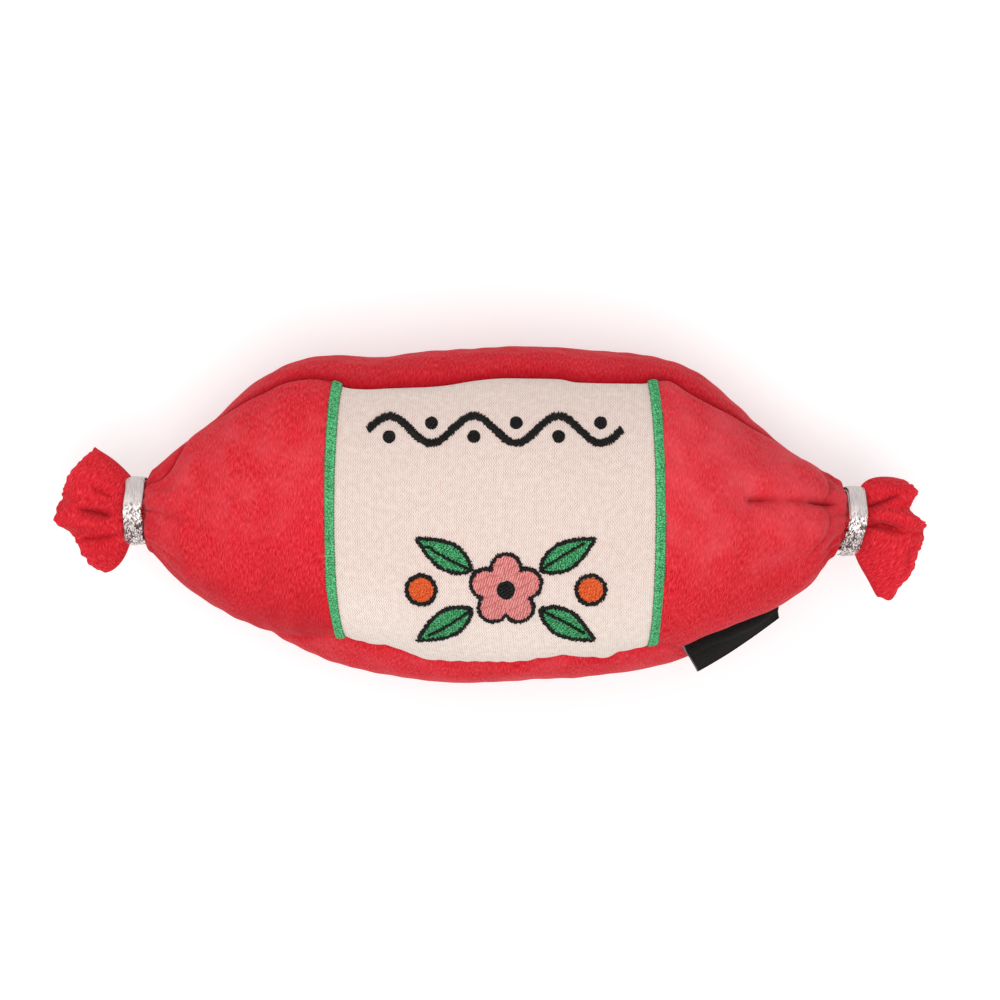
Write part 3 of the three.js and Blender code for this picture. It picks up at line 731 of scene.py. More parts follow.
@dataclass(frozen=True)
class Lame(Finish):
    """Metal-thread ribbon: smooth along its sides and crumpled into facets with painted glints."""

    bright: tuple = tint(236, 228, 225)
    dull: tuple = tint(84, 70, 68)
    calm_roughness: float = 0.45

    def material(self, effects: Effects) -> Material:
        """Builds the material."""
        material, nodes, shader = self.start("silver lame", {"Metallic": 0.8, "Anisotropic": 0.3})
        flow = nodes.flow()
        crumple = nodes.mark("crumple")
        longer = nodes.add("ShaderNodeMapping", {"Vector": flow, "Scale": (1.0, 0.55, 1.0)}).outputs[0]
        facets = nodes.add("ShaderNodeTexVoronoi", {"Vector": longer, "Scale": 2600.0, "Randomness": 1.0})
        grey = nodes.add("ShaderNodeSeparateColor", {0: facets.outputs["Color"]}).outputs[0]
        patches = nodes.noise(flow, 420.0, 2.0).outputs[0]
        lines = nodes.place(effects.strokes, flow, Length=0.004, Width=0.00016, Patch=0.006)
        # painted glints: where the foil is crumpled its facets are painted bright or dark, on top of what the
        # metal reflects
        sparkle = nodes.math("ADD", nodes.math("MULTIPLY", grey, 0.75), nodes.math("SUBTRACT", patches, 0.42))
        calm = nodes.math("ADD", nodes.math("MULTIPLY", lines["Fine"], 0.45), 0.29)
        shine = nodes.add("ShaderNodeMix", {"Factor": crumple, "A": calm, "B": sparkle}).outputs[0]
        colour = nodes.blend(nodes.ramp(shine, 0.2, 0.72), self.dull, self.bright)
        nodes.join(colour, shader.inputs["Base Color"])
        rough = nodes.math("SUBTRACT", self.calm_roughness, nodes.math("MULTIPLY", crumple, 0.22))
        nodes.join(rough, shader.inputs["Roughness"])
        height = nodes.math("ADD", lines["Fine"], nodes.math("MULTIPLY", grey, crumple))
        nodes.bump(shader, height, 0.00016, 0.8)
        return material


@dataclass(frozen=True)
class Tape(Finish):
    """Dense black woven tape with a pale back showing at its cut side."""

    face: tuple = tint(11, 6, 5)
    back: tuple = tint(150, 143, 143)

    def material(self, effects: Effects) -> Material:
        """Builds the material."""
        material, nodes, shader = self.start("black tape", {"Roughness": 0.8, "Specular IOR Level": 0.05})
        flow = nodes.flow()
        weave = nodes.place(effects.weave, flow, Pitch=0.00035, Row=0.0006, Slant=1.0)
        worn = nodes.math("MULTIPLY", nodes.noise(flow, 900.0, 2.0).outputs[0], 0.05)
        colour = nodes.blend(nodes.mark("inside"), nodes.blend(worn, self.face, self.back), self.back)
        nodes.join(colour, shader.inputs["Base Color"])
        nodes.bump(shader, weave["Height"], 0.00012, 0.7)
        return material


@dataclass(frozen=True)
class Film(Finish):
    """Thin clear crinkle film."""

    clear: tuple = tint(222, 226, 232)

    def material(self, effects: Effects) -> Material:
        """Builds the material."""
        plain = {"Base Color": self.clear, "Roughness": 0.18, "Transmission Weight": 0.6, "IOR": 1.45}
        material, nodes, shader = self.start("crinkle film", plain)
        folded = {"Vector": nodes.flow(), "Scale": 160.0}
        folds = nodes.add("ShaderNodeTexVoronoi", folded, feature="DISTANCE_TO_EDGE")
        nodes.bump(shader, folds.outputs["Distance"], 0.0006, 0.8)
        return material


@dataclass(frozen=True)
class Fibre(Finish):
    """Loose white polyester fibre."""

    shaded: tuple = tint(214, 212, 208)
    lit: tuple = tint(250, 249, 247)

    def material(self, effects: Effects) -> Material:
        """Builds the material."""
        plain = {"Roughness": 0.95, "Sheen Weight": 0.4}
        material, nodes, shader = self.start("white fibre", plain)
        spot = nodes.add("ShaderNodeTexCoord").outputs["Object"]
        hair = nodes.place(effects.strokes, spot, Length=0.004, Width=0.0006, Patch=0.01)
        colour = nodes.blend(hair["Fine"], self.shaded, self.lit)
        nodes.join(colour, shader.inputs["Base Color"])
        nodes.bump(shader, hair["Fine"], 0.0008, 0.8)
        return material


class Wardrobe:
    """Every finish of the toy, built once."""

    def __init__(self) -> None:
        """Builds the shared effects and then the materials."""
        effects = Effects()
        self.plush = Plush().material(effects)
        self.twill = Twill().material(effects)
        threads = (
            Thread("green border thread", tint(6, 96, 44), tint(116, 224, 156), edge_glow=0.35,
                   strand_share=0.3),
            Thread("green thread", tint(4, 84, 40), tint(108, 214, 148), strand_share=0.25),
            Thread("black thread", tint(3, 3, 3), tint(24, 20, 18)),
            Thread("pink thread", tint(196, 90, 92), tint(252, 182, 176), strand_share=0.8),
            Thread("orange thread", tint(206, 64, 22), tint(250, 132, 72), strand_share=0.3),
        )
        self.border, self.green, self.black, self.pink, self.orange = (
            thread.material(effects) for thread in threads
        )
        self.lame = Lame().material(effects)
        self.tape = Tape().material(effects)
        self.film = Film().material(effects)
        self.fibre = Fibre().material(effects)


# The stuffed body


@dataclass(frozen=True)
class Lean:
    """How a tie stands on its neck: how far along it sits, and how its front and top lean."""

    neck: Vector
    front: float
    up: float
    base: float

    def shift(self, y: Array, z: Array) -> Array:
        """Gives how far points at a height and depth move along X."""
        rise = z - self.neck.z
        forward = (rise + np.sqrt(rise**2 + 0.002**2)) / 2
        return self.base + self.front * forward + self.up * (y - self.neck.y)


@dataclass
class BodyForm:
    """The outer surface of the stuffed body between the two ties."""

    left_neck: Vector
    right_neck: Vector
    half_height: float = 0.0559
    front_depth: float = 0.046
    back_depth: float = 0.0435
    body_drift: float = 0.004
    lip_radius: float = 0.0126
    throat_radius: float = 0.0087
    band_radius: float = 0.0106
    ribbon_start: float = 0.0032
    seam_gap: float = 0.0003
    seam_lap: float = 0.0002
    join_lap: float = 0.0003
    groove_depth: float = 0.0022
    groove_width: float = 0.007
    edge_roll: float = 0.0017
    roll_reach: dict = field(default_factory=lambda: {Face.FRONT: 0.0016, Face.BACK: 0.0042})
    pucker_depth: float = 0.0006
    pucker_reach: float = 0.0035
    pucker_pitch: float = 0.0021
    top_seam_angle: float = math.radians(36)
    bottom_seam_angle: float = math.radians(29)
    label_width: float = 0.108
    label_shift: float = 0.0008
    cross_seam_bow: float = 0.0016
    corner_curl: float = 0.0010
    curl_reach: float = 0.022
    lean_reach: float = 0.012
    shoulders: dict = field(default_factory=lambda: {Side.LEFT: 0.0042, Side.RIGHT: 0.0062})
    shoulder_start: float = 0.0006
    pleat_counts: tuple[int, int] = (7, 8)
    pleat_phases: tuple[float, float] = (0.6, 2.1)
    pleat_depth: float = 0.0022
    pleat_reach: float = 0.013
    gather_count: int = 19
    gather_depth: float = 0.0005
    gather_reach: float = 0.006
    end_fill: float = 0.0016
    end_fill_reach: float = 0.009
    outline_shares: Pairs = (
        (0, 0), (0.038, 0.227), (0.066, 0.356), (0.094, 0.466), (0.122, 0.578), (0.151, 0.672),
        (0.18, 0.752), (0.209, 0.818), (0.239, 0.867), (0.268, 0.898), (0.298, 0.912), (0.359, 0.943),
        (0.42, 0.976), (0.511, 1.003), (0.572, 0.988), (0.663, 0.956), (0.723, 0.918), (0.783, 0.834),
        (0.812, 0.761), (0.841, 0.672), (0.87, 0.566), (0.898, 0.45), (0.955, 0.222), (0.975, 0.125),
        (1, 0),
    )
    drift_shares: Pairs = (
        (0, 0.45), (0.038, 0.05), (0.066, 0.13), (0.094, 0.26), (0.122, 0.66), (0.151, 0.98),
        (0.18, 1.02), (0.209, 0.88), (0.268, 0.46), (0.32, 0.1), (0.38, -0.08), (0.44, -0.12),
        (0.511, 0.04), (0.633, 0.14), (0.723, 0.23), (0.783, 0.29), (0.812, 0.24), (0.841, -0.01),
        (0.87, -0.35), (0.898, -0.66), (0.95, -0.92), (0.975, -0.78), (1, -0.35),
    )
    top_seam_shares: Pairs = (
        (0, 1.3), (0.01, 1.4), (0.027, 1.18), (0.042, 0.7), (0.055, 0.2), (0.075, 0.24), (0.117, 0.67),
        (0.162, 0.82), (0.19, 0.785), (0.216, 0.794), (0.242, 0.823), (0.268, 0.9), (0.284, 0.98),
        (0.35, 0.98), (0.418, 0.993), (0.474, 0.944), (0.54, 0.941), (0.6, 0.925), (0.625, 0.965),
        (0.72, 0.911), (0.74, 0.827), (0.762, 0.76), (0.789, 0.905), (0.805, 0.939), (0.8265, 0.928),
        (0.844, 0.867), (0.879, 0.7), (0.895, 0.517), (0.93, 0.14), (1, 0),
    )
    bottom_seam_shares: Pairs = (
        (0, 0), (0.13, 0), (0.156, 0.06), (0.184, 0.43), (0.215, 0.753), (0.249, 1.062), (0.279, 1.146),
        (0.302, 1.107), (0.338, 1.115), (0.364, 1.07), (0.39, 0.914), (0.451, 0.907), (0.49, 0.913),
        (0.541, 0.891), (0.606, 0.965), (0.66, 0.807), (0.672, 0.807), (0.69, 0.937), (0.711, 0.951),
        (0.7355, 1.006), (0.746, 0.989), (0.7625, 0.869), (0.779, 0.67), (0.807, 0.684), (0.836, 0.694),
        (0.865, 0.668), (0.895, 0.48), (0.919, 0.05), (0.95, -0.2), (1, 0),
    )

    @property
    def leans(self) -> dict[Side, Lean]:
        """How each tie leans."""
        left = Lean(self.left_neck, 0.02, 0.025, 0.0009)
        return {Side.LEFT: left, Side.RIGHT: Lean(self.right_neck, 0.15, 0.1, -0.00095)}

    @property
    def middle(self) -> float:
        """Half way between the necks."""
        return (self.left_neck.x + self.right_neck.x) / 2

    @property
    def span(self) -> float:
        """From neck to neck."""
        return self.right_neck.x - self.left_neck.x

    @property
    def axis_height(self) -> float:
        """The height of the toy's own axis over the floor."""
        return self.left_neck.z

    def cross_seam(self, side: Side) -> float:
        """Where the label meets the red cloth on one side, along the toy's axis."""
        return self.middle + self.label_shift + side.value * self.label_width / 2

    def place(self, x: Array) -> Array:
        """The share of the way from the left neck to the right one."""
        return np.clip(0.5 + (x - self.middle) / self.span, 0, 1)

    def to_tie(self, x: Array) -> tuple[Array, Array]:
        """The distances from the two ribbons' inner edges, left and right, rising into the body."""
        left = x - (self.left_neck.x - self.ribbon_start)
        right = self.right_neck.x + self.ribbon_start - x
        return left, right

    def radii(self, x: Array) -> tuple[Array, Array, Array]:
        """The half sizes of the body's section: up and down, to the front and to the back."""
        share = curve_through(self.outline_shares, self.place(x))
        distances = dict(zip((Side.LEFT, Side.RIGHT), self.to_tie(x)))
        nearest = np.minimum(*distances.values())
        fill = self.end_fill * np.exp(-((nearest / self.end_fill_reach) ** 2))
        sizes = []
        for widest in (self.half_height, self.front_depth, self.back_depth):
            radius = self.lip_radius + (widest - self.lip_radius) * share + fill
            for side, distance in distances.items():
                rounded = quarter_round(distance - self.shoulder_start, self.shoulders[side])
                radius = self.band_radius + (radius - self.band_radius) * rounded
                drawn_in = quarter_round(distance, self.lip_radius / 10)
                radius = self.throat_radius + (radius - self.throat_radius) * drawn_in
            sizes.append(radius)
        return sizes[0], sizes[1], sizes[2]

    def across(self, x: Array) -> Array:
        """Where the body's axis wanders to, up or down the picture."""
        return self.body_drift * curve_through(self.drift_shares, self.place(x))

    def seams(self, x: Array) -> tuple[Array, Array]:
        """The turns at which the upper and lower long seams lie."""
        place = self.place(x)
        top = self.top_seam_angle * curve_through(self.top_seam_shares, place)
        bottom = math.pi - self.bottom_seam_angle * curve_through(self.bottom_seam_shares, place)
        return top, bottom - self.pucker_depth / self.half_height * self.puckers(x)

    def puckers(self, x: Array) -> Array:
        """Where the lower label seam is drawn in: 1 at a pucker, 0 between two and past the label."""
        wave = np.abs(np.sin(x / self.pucker_pitch + 1.7 * np.sin(x / (4.4 * self.pucker_pitch))))
        on_label = smooth_step(self.label_width * 0.56, self.label_width * 0.47, np.abs(x - self.middle))
        return (1 - wave) * on_label

    def points(self, x: Array, share: Array, face: Face) -> Array:
        """Places points on the body's skin.

        Args:
            x: Along the toy.
            share: 0 to 1 over the front from the upper seam to the lower, or over the back from
                the lower seam round to the upper.
            face: Which side of the toy.

        Returns:
            The points, one row for each.
        """
        height, front, back = self.radii(x)
        top, bottom = self.seams(x)
        first, last = (top, bottom) if face is Face.FRONT else (bottom, math.tau + top)
        edge = -self.seam_lap / 2 / height
        turn = first + edge + (last - first - 2 * edge) * share
        from_seam = np.minimum(turn - first, last - turn) * height
        groove = self.groove_depth * curve_through(self.outline_shares, self.place(x))
        groove = groove * np.exp(-from_seam / self.groove_width)
        reach = self.roll_reach[face]
        roll = self.edge_roll * (1 - quarter_round(np.minimum(from_seam, reach), reach))
        above = (last - turn if face is Face.FRONT else turn - first) * height
        dimple = self.pucker_depth * self.puckers(x) ** 2 * np.exp(-above / self.pucker_reach)
        scale = 1 - (groove + roll + dimple) / height + self.pleats(x, turn) / height
        depth = np.where(np.sin(turn) > 0, front, back)
        along = 2 * self.place(x) - 1
        border = self.label_width / self.span
        bow = self.cross_seam_bow * along * (1 - along**2) / (border * (1 - border**2))
        spread = (2 * share - 1) ** 2 if face is Face.FRONT else np.ones_like(share)
        low = smooth_step(0.72, 1, share) if face is Face.FRONT else smooth_step(0.4, 0, share)
        near_corner = np.exp(-(((x - self.cross_seam(Side.LEFT)) / self.curl_reach) ** 2))
        curl = self.corner_curl * low * near_corner
        y = self.across(x) + height * scale * np.cos(turn)
        z = self.axis_height + depth * scale * np.sin(turn)
        lean = np.zeros(np.broadcast(x, y).shape)
        for side, distance in zip((Side.LEFT, Side.RIGHT), self.to_tie(x)):
            near = np.exp(-((np.clip(distance, 0, None) / self.lean_reach) ** 2))
            lean += near * self.leans[side].shift(y, z)
        return np.stack([x - bow * spread + curl + lean, y, z], axis=-1)

    def pleats(self, x: Array, turn: Array) -> Array:
        """How far the gathered cloth stands in or out at a place and turn near a tie."""
        total = np.zeros(np.broadcast(x, turn).shape)
        for distance, count, phase in zip(self.to_tie(x), self.pleat_counts, self.pleat_phases):
            wave = turn * count + phase + 0.8 * np.sin(2 * turn + phase)
            fold = np.abs(np.sin(wave / 2)) ** 0.7 - 0.72
            away = np.clip(distance, 0, None)
            depth = self.pleat_depth * np.exp(-away / self.pleat_reach) * smooth_step(-0.002, 0.003, distance)
            gathers = self.gather_depth * np.cos(self.gather_count * turn + phase)
            total += depth * fold + gathers * np.exp(-away / self.gather_reach)
        return total


@dataclass
class PanelCut:
    """How one panel of the body is cut and laid."""

    name: str
    face: Face
    start: float
    end: float
    columns: int
    rows: int
    creases: tuple[Crease, ...] = ()
    bulges: tuple[Bulge, ...] = ()
    thickness: float = 0.0016
    # painted light laid over the whole panel: above 0 it is lighter
    nap: float = 0.0


@dataclass
class StuffedBody:
    """The four panels of the stuffed body, as padded cloth."""

    form: BodyForm
    wardrobe: Wardrobe
    seam_calm: float = 0.004
    rest_rounding: float = 0.0012
    past_tie: float = 0.0033
    # sizes and strengths of the painted shade by the seams and the ties
    top_seam_shade: float = 0.0022
    low_seam_shade: float = 0.0016
    collar_shade: tuple[float, float] = (0.12, 0.3)
    bend_inside: float = 0.016
    right_creases: tuple[Crease, ...] = (
        Crease(((0.0825, 0.0047), (0.0866, 0.0052), (0.089, 0.0051), (0.0979, 0.0046), (0.1067, 0.0042),
               (0.1125, 0.004), (0.1165, 0.0036)), 0.0022, 0.0032, 0.14, 0.2),
        Crease(((0.0825, 0.0047), (0.0866, 0.0052), (0.089, 0.0051), (0.0945, 0.0048)), 0.0014, 0.003,
               0.3, 0.4),
        Crease(((0.1015, 0.0043), (0.1067, 0.004), (0.111, 0.0038), (0.1165, 0.0036)), 0.0022, 0.0034,
               0.4, 0.3),
        Crease(((0.109, 0.015), (0.1108, 0.0128), (0.1119, 0.0108), (0.1122, 0.0088), (0.1119, 0.0069),
               (0.1109, 0.0053), (0.1092, 0.0042)), 0.0017, 0.003, 0.2, 0.2),
        Crease(((0.1085, 0.0034), (0.1103, 0.0022), (0.1115, 0.0002), (0.112, -0.002), (0.1115, -0.0042),
               (0.11, -0.0068), (0.1074, -0.0092), (0.1046, -0.0119), (0.1032, -0.0148)), 0.0017, 0.003,
               0.12, 0.2),
        Crease(((0.1, 0.02), (0.1055, 0.0178), (0.1105, 0.015), (0.115, 0.0115)), 0.0009, 0.003, 0.4),
        Crease(((0.108, -0.0163), (0.1115, -0.0138), (0.1145, -0.0112)), 0.0012, 0.0026, 0.4),
    )
    right_bulges: tuple[Bulge, ...] = (
        Bulge(0.099, 0.0112, 0.013, 0.007, 0.0026, 2.4),
        Bulge(0.1005, -0.004, 0.0117, 0.0084, 0.0026, 2.4),
        Bulge(0.0845, 0.0052, 0.0065, 0.0036, -0.0014),
        Bulge(0.1075, -0.013, 0.005, 0.003, 0.001),
        Bulge(0.0795, -0.0215, 0.014, 0.012, 0.001),
    )
    left_creases: tuple[Crease, ...] = (
        Crease(((-0.0955, -0.0036), (-0.0985, -0.0026), (-0.1024, -0.0008), (-0.108, 0.0008),
               (-0.1155, 0.002)), 0.0015, 0.003, 0.4),
        Crease(((-0.0965, 0.0098), (-0.102, 0.0092), (-0.1075, 0.0082), (-0.115, 0.0066)), 0.0006, 0.003,
               0.5),
        Crease(((-0.094, -0.0205), (-0.1015, -0.0155), (-0.108, -0.0105), (-0.1155, -0.006)), 0.0007,
               0.0034, 0.5),
    )
    left_bulges: tuple[Bulge, ...] = (
        Bulge(-0.1056, 0.0052, 0.0075, 0.0045, 0.0014, 1.2),
        Bulge(-0.1062, -0.0068, 0.0085, 0.0058, 0.0015, 1.2),
        Bulge(-0.098, 0.0073, 0.0034, 0.0034, -0.001),
        Bulge(-0.0956, -0.003, 0.0036, 0.003, -0.0012),
        Bulge(-0.078, -0.0085, 0.012, 0.009, 0.0008),
    )

    def cuts(self) -> tuple[PanelCut, ...]:
        """The panels, from their seams and ties."""
        form = self.form
        left_end = form.left_neck.x - form.ribbon_start - self.past_tie
        right_end = form.right_neck.x + form.ribbon_start + self.past_tie
        left_seam, right_seam = form.cross_seam(Side.LEFT), form.cross_seam(Side.RIGHT)
        half_gap = form.seam_gap / 2
        middle = form.middle
        return (
            PanelCut("front_left_cloth", Face.FRONT, left_end, left_seam - half_gap, 80, 120,
                     self.left_creases, self.left_bulges),
            PanelCut("label_cloth", Face.FRONT, left_seam + half_gap, right_seam - half_gap, 84, 96,
                     thickness=0.0009),
            # the right front panel gets extra painted light all over
            PanelCut("front_right_cloth", Face.FRONT, right_seam + half_gap, right_end, 88, 120,
                     self.right_creases, self.right_bulges, nap=0.35),
            PanelCut("back_left_cloth", Face.BACK, left_end, middle + form.join_lap, 96, 130),
            PanelCut("back_right_cloth", Face.BACK, middle, right_end, 96, 130),
        )

    def lay(self, cut: PanelCut) -> Piece:
        """Lays one panel on the body's form with its creases, puckers and thickness."""
        form = self.form

        def surface(s: Array, t: Array) -> Array:
            """The panel's outer side."""
            x = cut.start + (cut.end - cut.start) * s
            share = 1 - t
            points = form.points(x, share, cut.face)
            from_seam = np.minimum(share, t) * form.radii(x)[0] * 2
            lift = self.swell(points, cut) * smooth_step(0, self.seam_calm, from_seam)
            points = points + grid_normals(points) * lift[..., None]
            if cut.face is Face.BACK:
                height = points[..., 2]
                points[..., 2] = (height + np.sqrt(height**2 + self.rest_rounding**2)) / 2
            return points

        def fold(s: Array, t: Array) -> Array:
            """Painted shade from 0 to 1: in creases, under the upper seam, by the lower seam and by the ties.
            """
            points = form.points(cut.start + (cut.end - cut.start) * s, 1 - t, cut.face)
            pressed = np.zeros(s.shape)
            for crease in cut.creases:
                pressed += crease.press(points[..., 0], points[..., 1])
            shares = (1 - t, t) if cut.face is Face.FRONT else (t, 1 - t)
            below_top, above_low = (share * form.half_height * 2.4 for share in shares)
            # painted shadow under the upper seam's rim, and a weaker painted shade along the lower seam
            shade = np.exp(-((below_top / self.top_seam_shade) ** 2))
            shade += 0.25 * np.exp(-((above_low / self.low_seam_shade) ** 2))
            # painted shade on the bunched cloth next to each tie
            for collar, distance in zip(self.collar_shade, form.to_tie(points[..., 0])):
                shade += collar * smooth_step(0.008, 0.005, distance)
            return np.clip(crease_shade(pressed) + shade, 0, 1)

        def nap(s: Array, t: Array) -> Array:
            """Painted light above 0 and painted shade below 0, partly from the pile's lay towards the light.
            """
            if cut.face is Face.FRONT:
                # painted light: the label lighter along its lower edge and a little along its upper edge
                if cut.name == "label_cloth":
                    return smooth_step(0.45, 0.05, t) + 0.4 * smooth_step(0.8, 1, t)
                # painted shade: the red fronts darker towards the lower edge and a little at the upper seam
                lit = 0.35 - 1.2 * smooth_step(0.62, 0.05, t) - 0.25 * smooth_step(0.8, 1, t)
                return cut.nap + lit * (1 - cut.nap)
            # painted shade: the back darker towards its upper rim
            return 0.25 - 0.6 * smooth_step(0.3, 0.05, t)

        origin = (1.0 if cut.end == form.middle + form.join_lap else 0.0, 0.5)
        obj = sheet_grid(cut.name, cut.columns, cut.rows, surface, origin, {"fold": fold, "nap": nap})
        line_cloth(obj, cut.thickness)
        return obj

    def swell(self, points: Array, cut: PanelCut) -> Array:
        """How far the cloth stands in or out of the plain form at each point."""
        x, y = points[..., 0], points[..., 1]
        lift = np.zeros(x.shape)
        for bulge in cut.bulges:
            lift += bulge.rise(x, y)
        for crease in cut.creases:
            lift -= crease.press(x, y)
        waves, small = (0.0003, 0.00008) if cut.name == "label_cloth" else (0.0006, 0.00022)
        lift += waves * ripple(x, y + points[..., 2], 0.017, 3)
        lift += small * ripple(x, y - points[..., 2], 0.0055, 4)
        return lift

    def build(self) -> dict[str, Piece]:
        """Builds and dresses the panels, and fastens the label to the body.

        Returns:
            The panels by name.
        """
        nodes = {
            "front_left_cloth": ("front_left_panel", Side.LEFT),
            "label_cloth": ("front_label_panel", None),
            "front_right_cloth": ("front_right_panel", Side.RIGHT),
            "back_left_cloth": ("back_panel", Side.LEFT),
            "back_right_cloth": ("back_panel", Side.RIGHT),
        }
        made = {}
        for cut in self.cuts():
            obj = self.lay(cut)
            node, side = nodes[cut.name]
            if side is None:
                fasten(obj, self.wardrobe.twill, BODY, "cream_twill", node)
            else:
                bodies = (BODY, side.word + "_tie")
                bend_into(obj, self.wardrobe.plush, bodies, node)
            made[cut.name] = obj
        return made


# Embroidery


class ThreadWork:
    """Lays stitches of thread on the label's surface."""

    rings: int = 6
    sides: int = 5

    def __init__(self, cloth: Piece, wardrobe: Wardrobe) -> None:
        """Keeps the cloth's surface to stitch on."""
        depsgraph = bpy.context.evaluated_depsgraph_get()
        self.tree = BVHTree.FromObject(cloth, depsgraph)
        self.wardrobe = wardrobe
        self.draw = np.random.default_rng(SEED)
        self.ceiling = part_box("front_label_panel")[1].z + 0.02

    def height_over(self, points: Array) -> Array:
        """How far the cloth lies outside each point near it, seen along the cloth's normal."""
        heights = np.zeros(points.shape[:-1])
        for index in np.ndindex(heights.shape):
            spot = Vector(points[index])
            hit, normal, _, _ = self.tree.find_nearest(spot)
            heights[index] = (hit - spot).dot(normal)
        return np.clip(heights, -0.0006, 0.0012)

    def on_cloth(self, spots: Array) -> tuple[Array, Array]:
        """Drops spots onto the cloth from above.

        Args:
            spots: Their places seen from the front, in the last axis.

        Returns:
            Points and normals on the cloth.
        """
        flat = spots.reshape(-1, 2)
        points = np.zeros((len(flat), 3))
        normals = np.tile([0.0, 0.0, 1.0], (len(flat), 1))
        down = Vector((0, 0, -1))
        for i, (x, y) in enumerate(flat):
            hit, normal, _, _ = self.tree.ray_cast(Vector((x, y, self.ceiling)), down)
            if hit is None:
                hit, normal, _, _ = self.tree.find_nearest(Vector((x, y, self.ceiling / 1.3)))
            points[i] = hit
            normals[i] = normal
        shape = (*spots.shape[:-1], 3)
        return points.reshape(shape), normals.reshape(shape)

    def stitches(self, name: str, starts: Array, ends: Array, width: float, height: float,
                 lift: float = 0.0, rows: Array | None = None) -> Piece:
        """Lays one arched strand of thread for each pair of ends.

        Args:
            name: The new piece's name.
            starts: First ends, seen from the front.
            ends: Second ends.
            width: A strand's width.
            height: How high a strand stands at its middle.
            lift: How far all of it is raised over the cloth.
            rows: Each strand's row, where every other row is darker.

        Returns:
            One piece with all the strands.
        """
        share = np.linspace(0, 1, self.rings)[None, :, None]
        spots = starts[:, None, :] * (1 - share) + ends[:, None, :] * share
        base, normal = self.on_cloth(spots)
        return self.strands(name, base, normal, width, height, lift, rows)

    def strands(self, name: str, base: Array, normal: Array, width: float, height: float,
                lift: float, rows: Array | None = None) -> Piece:
        """Makes arched strands over rows of points on the cloth, one strand for each row."""
        rings, sides = self.rings, self.sides
        count = len(base)
        share = np.linspace(0, 1, rings)
        run = np.gradient(base, axis=1)
        across = np.cross(normal, run)
        across /= np.maximum(np.linalg.norm(across, axis=-1, keepdims=True), 1e-9)
        swell = (np.sin(math.pi * (0.1 + 0.8 * share)) ** 0.6)[None, :, None, None]
        turn = np.linspace(0, math.pi, sides)[None, None, :, None]
        varied = self.draw.uniform(0.82, 1.12, (count, 1, 1, 1))
        up = lift - height * 0.35 + height * varied * swell * (0.35 + np.sin(turn))
        wide = (width / 2) * (0.45 + 0.55 * swell) * np.cos(turn)
        points = base[:, :, None, :] + normal[:, :, None, :] * up + across[:, :, None, :] * wide
        faces = []
        for k in range(count):
            first = k * rings * sides
            for r in range(rings - 1):
                for c in range(sides):
                    a = first + r * sides + c
                    b = first + r * sides + (c + 1) % sides
                    faces.append((a, a + sides, b + sides, b))
            faces.append(tuple(first + c for c in range(sides)))
            faces.append(tuple(first + (rings - 1) * sides + c for c in reversed(range(sides))))
        obj = mesh_piece(name, points.reshape(-1, 3), faces)
        self.mark(obj, np.linalg.norm(base[:, -1] - base[:, 0], axis=1), width, rows)
        return obj

    def mark(self, obj: Piece, lengths: Array, width: float, rows: Array | None) -> None:
        """Writes each strand's shade, its nearness to an end and its own lengths onto the mesh."""
        count, rings, sides = len(lengths), self.rings, self.sides
        shade = self.draw.uniform(0, 1, count)
        if rows is not None:
            shade = 0.3 * shade + 0.7 * (rows % 2)
        tone = np.repeat(shade, rings * sides)
        rim = np.tile(np.repeat(np.abs(np.linspace(-1, 1, rings)) ** 2, sides), count)
        write_mark(obj.data, "tone", tone)
        write_mark(obj.data, "rim", rim)
        along = np.repeat(np.linspace(0, 1, rings)[None, :] * lengths[:, None], sides).reshape(-1)
        side = np.tile(np.linspace(0, width * 1.6, sides), count * rings)
        start = np.repeat(self.draw.uniform(0, 1, count), rings * sides)
        layer = obj.data.uv_layers.new(name=UV_NAME)
        write_flow(obj.data, layer, np.stack([side + start, along + start], axis=-1))

    def pierce(self, obj: Piece, every: int) -> None:
        """Marks the needle holes at both ends of every so many strands."""
        size = self.rings * self.sides
        count = len(obj.data.vertices) // size
        marks = np.zeros((count, self.rings, self.sides), np.float32)
        marks[::every, (0, -1)] = 1
        marks[1::every, (0, -1)] = 1
        write_mark(obj.data, "pierce", marks)


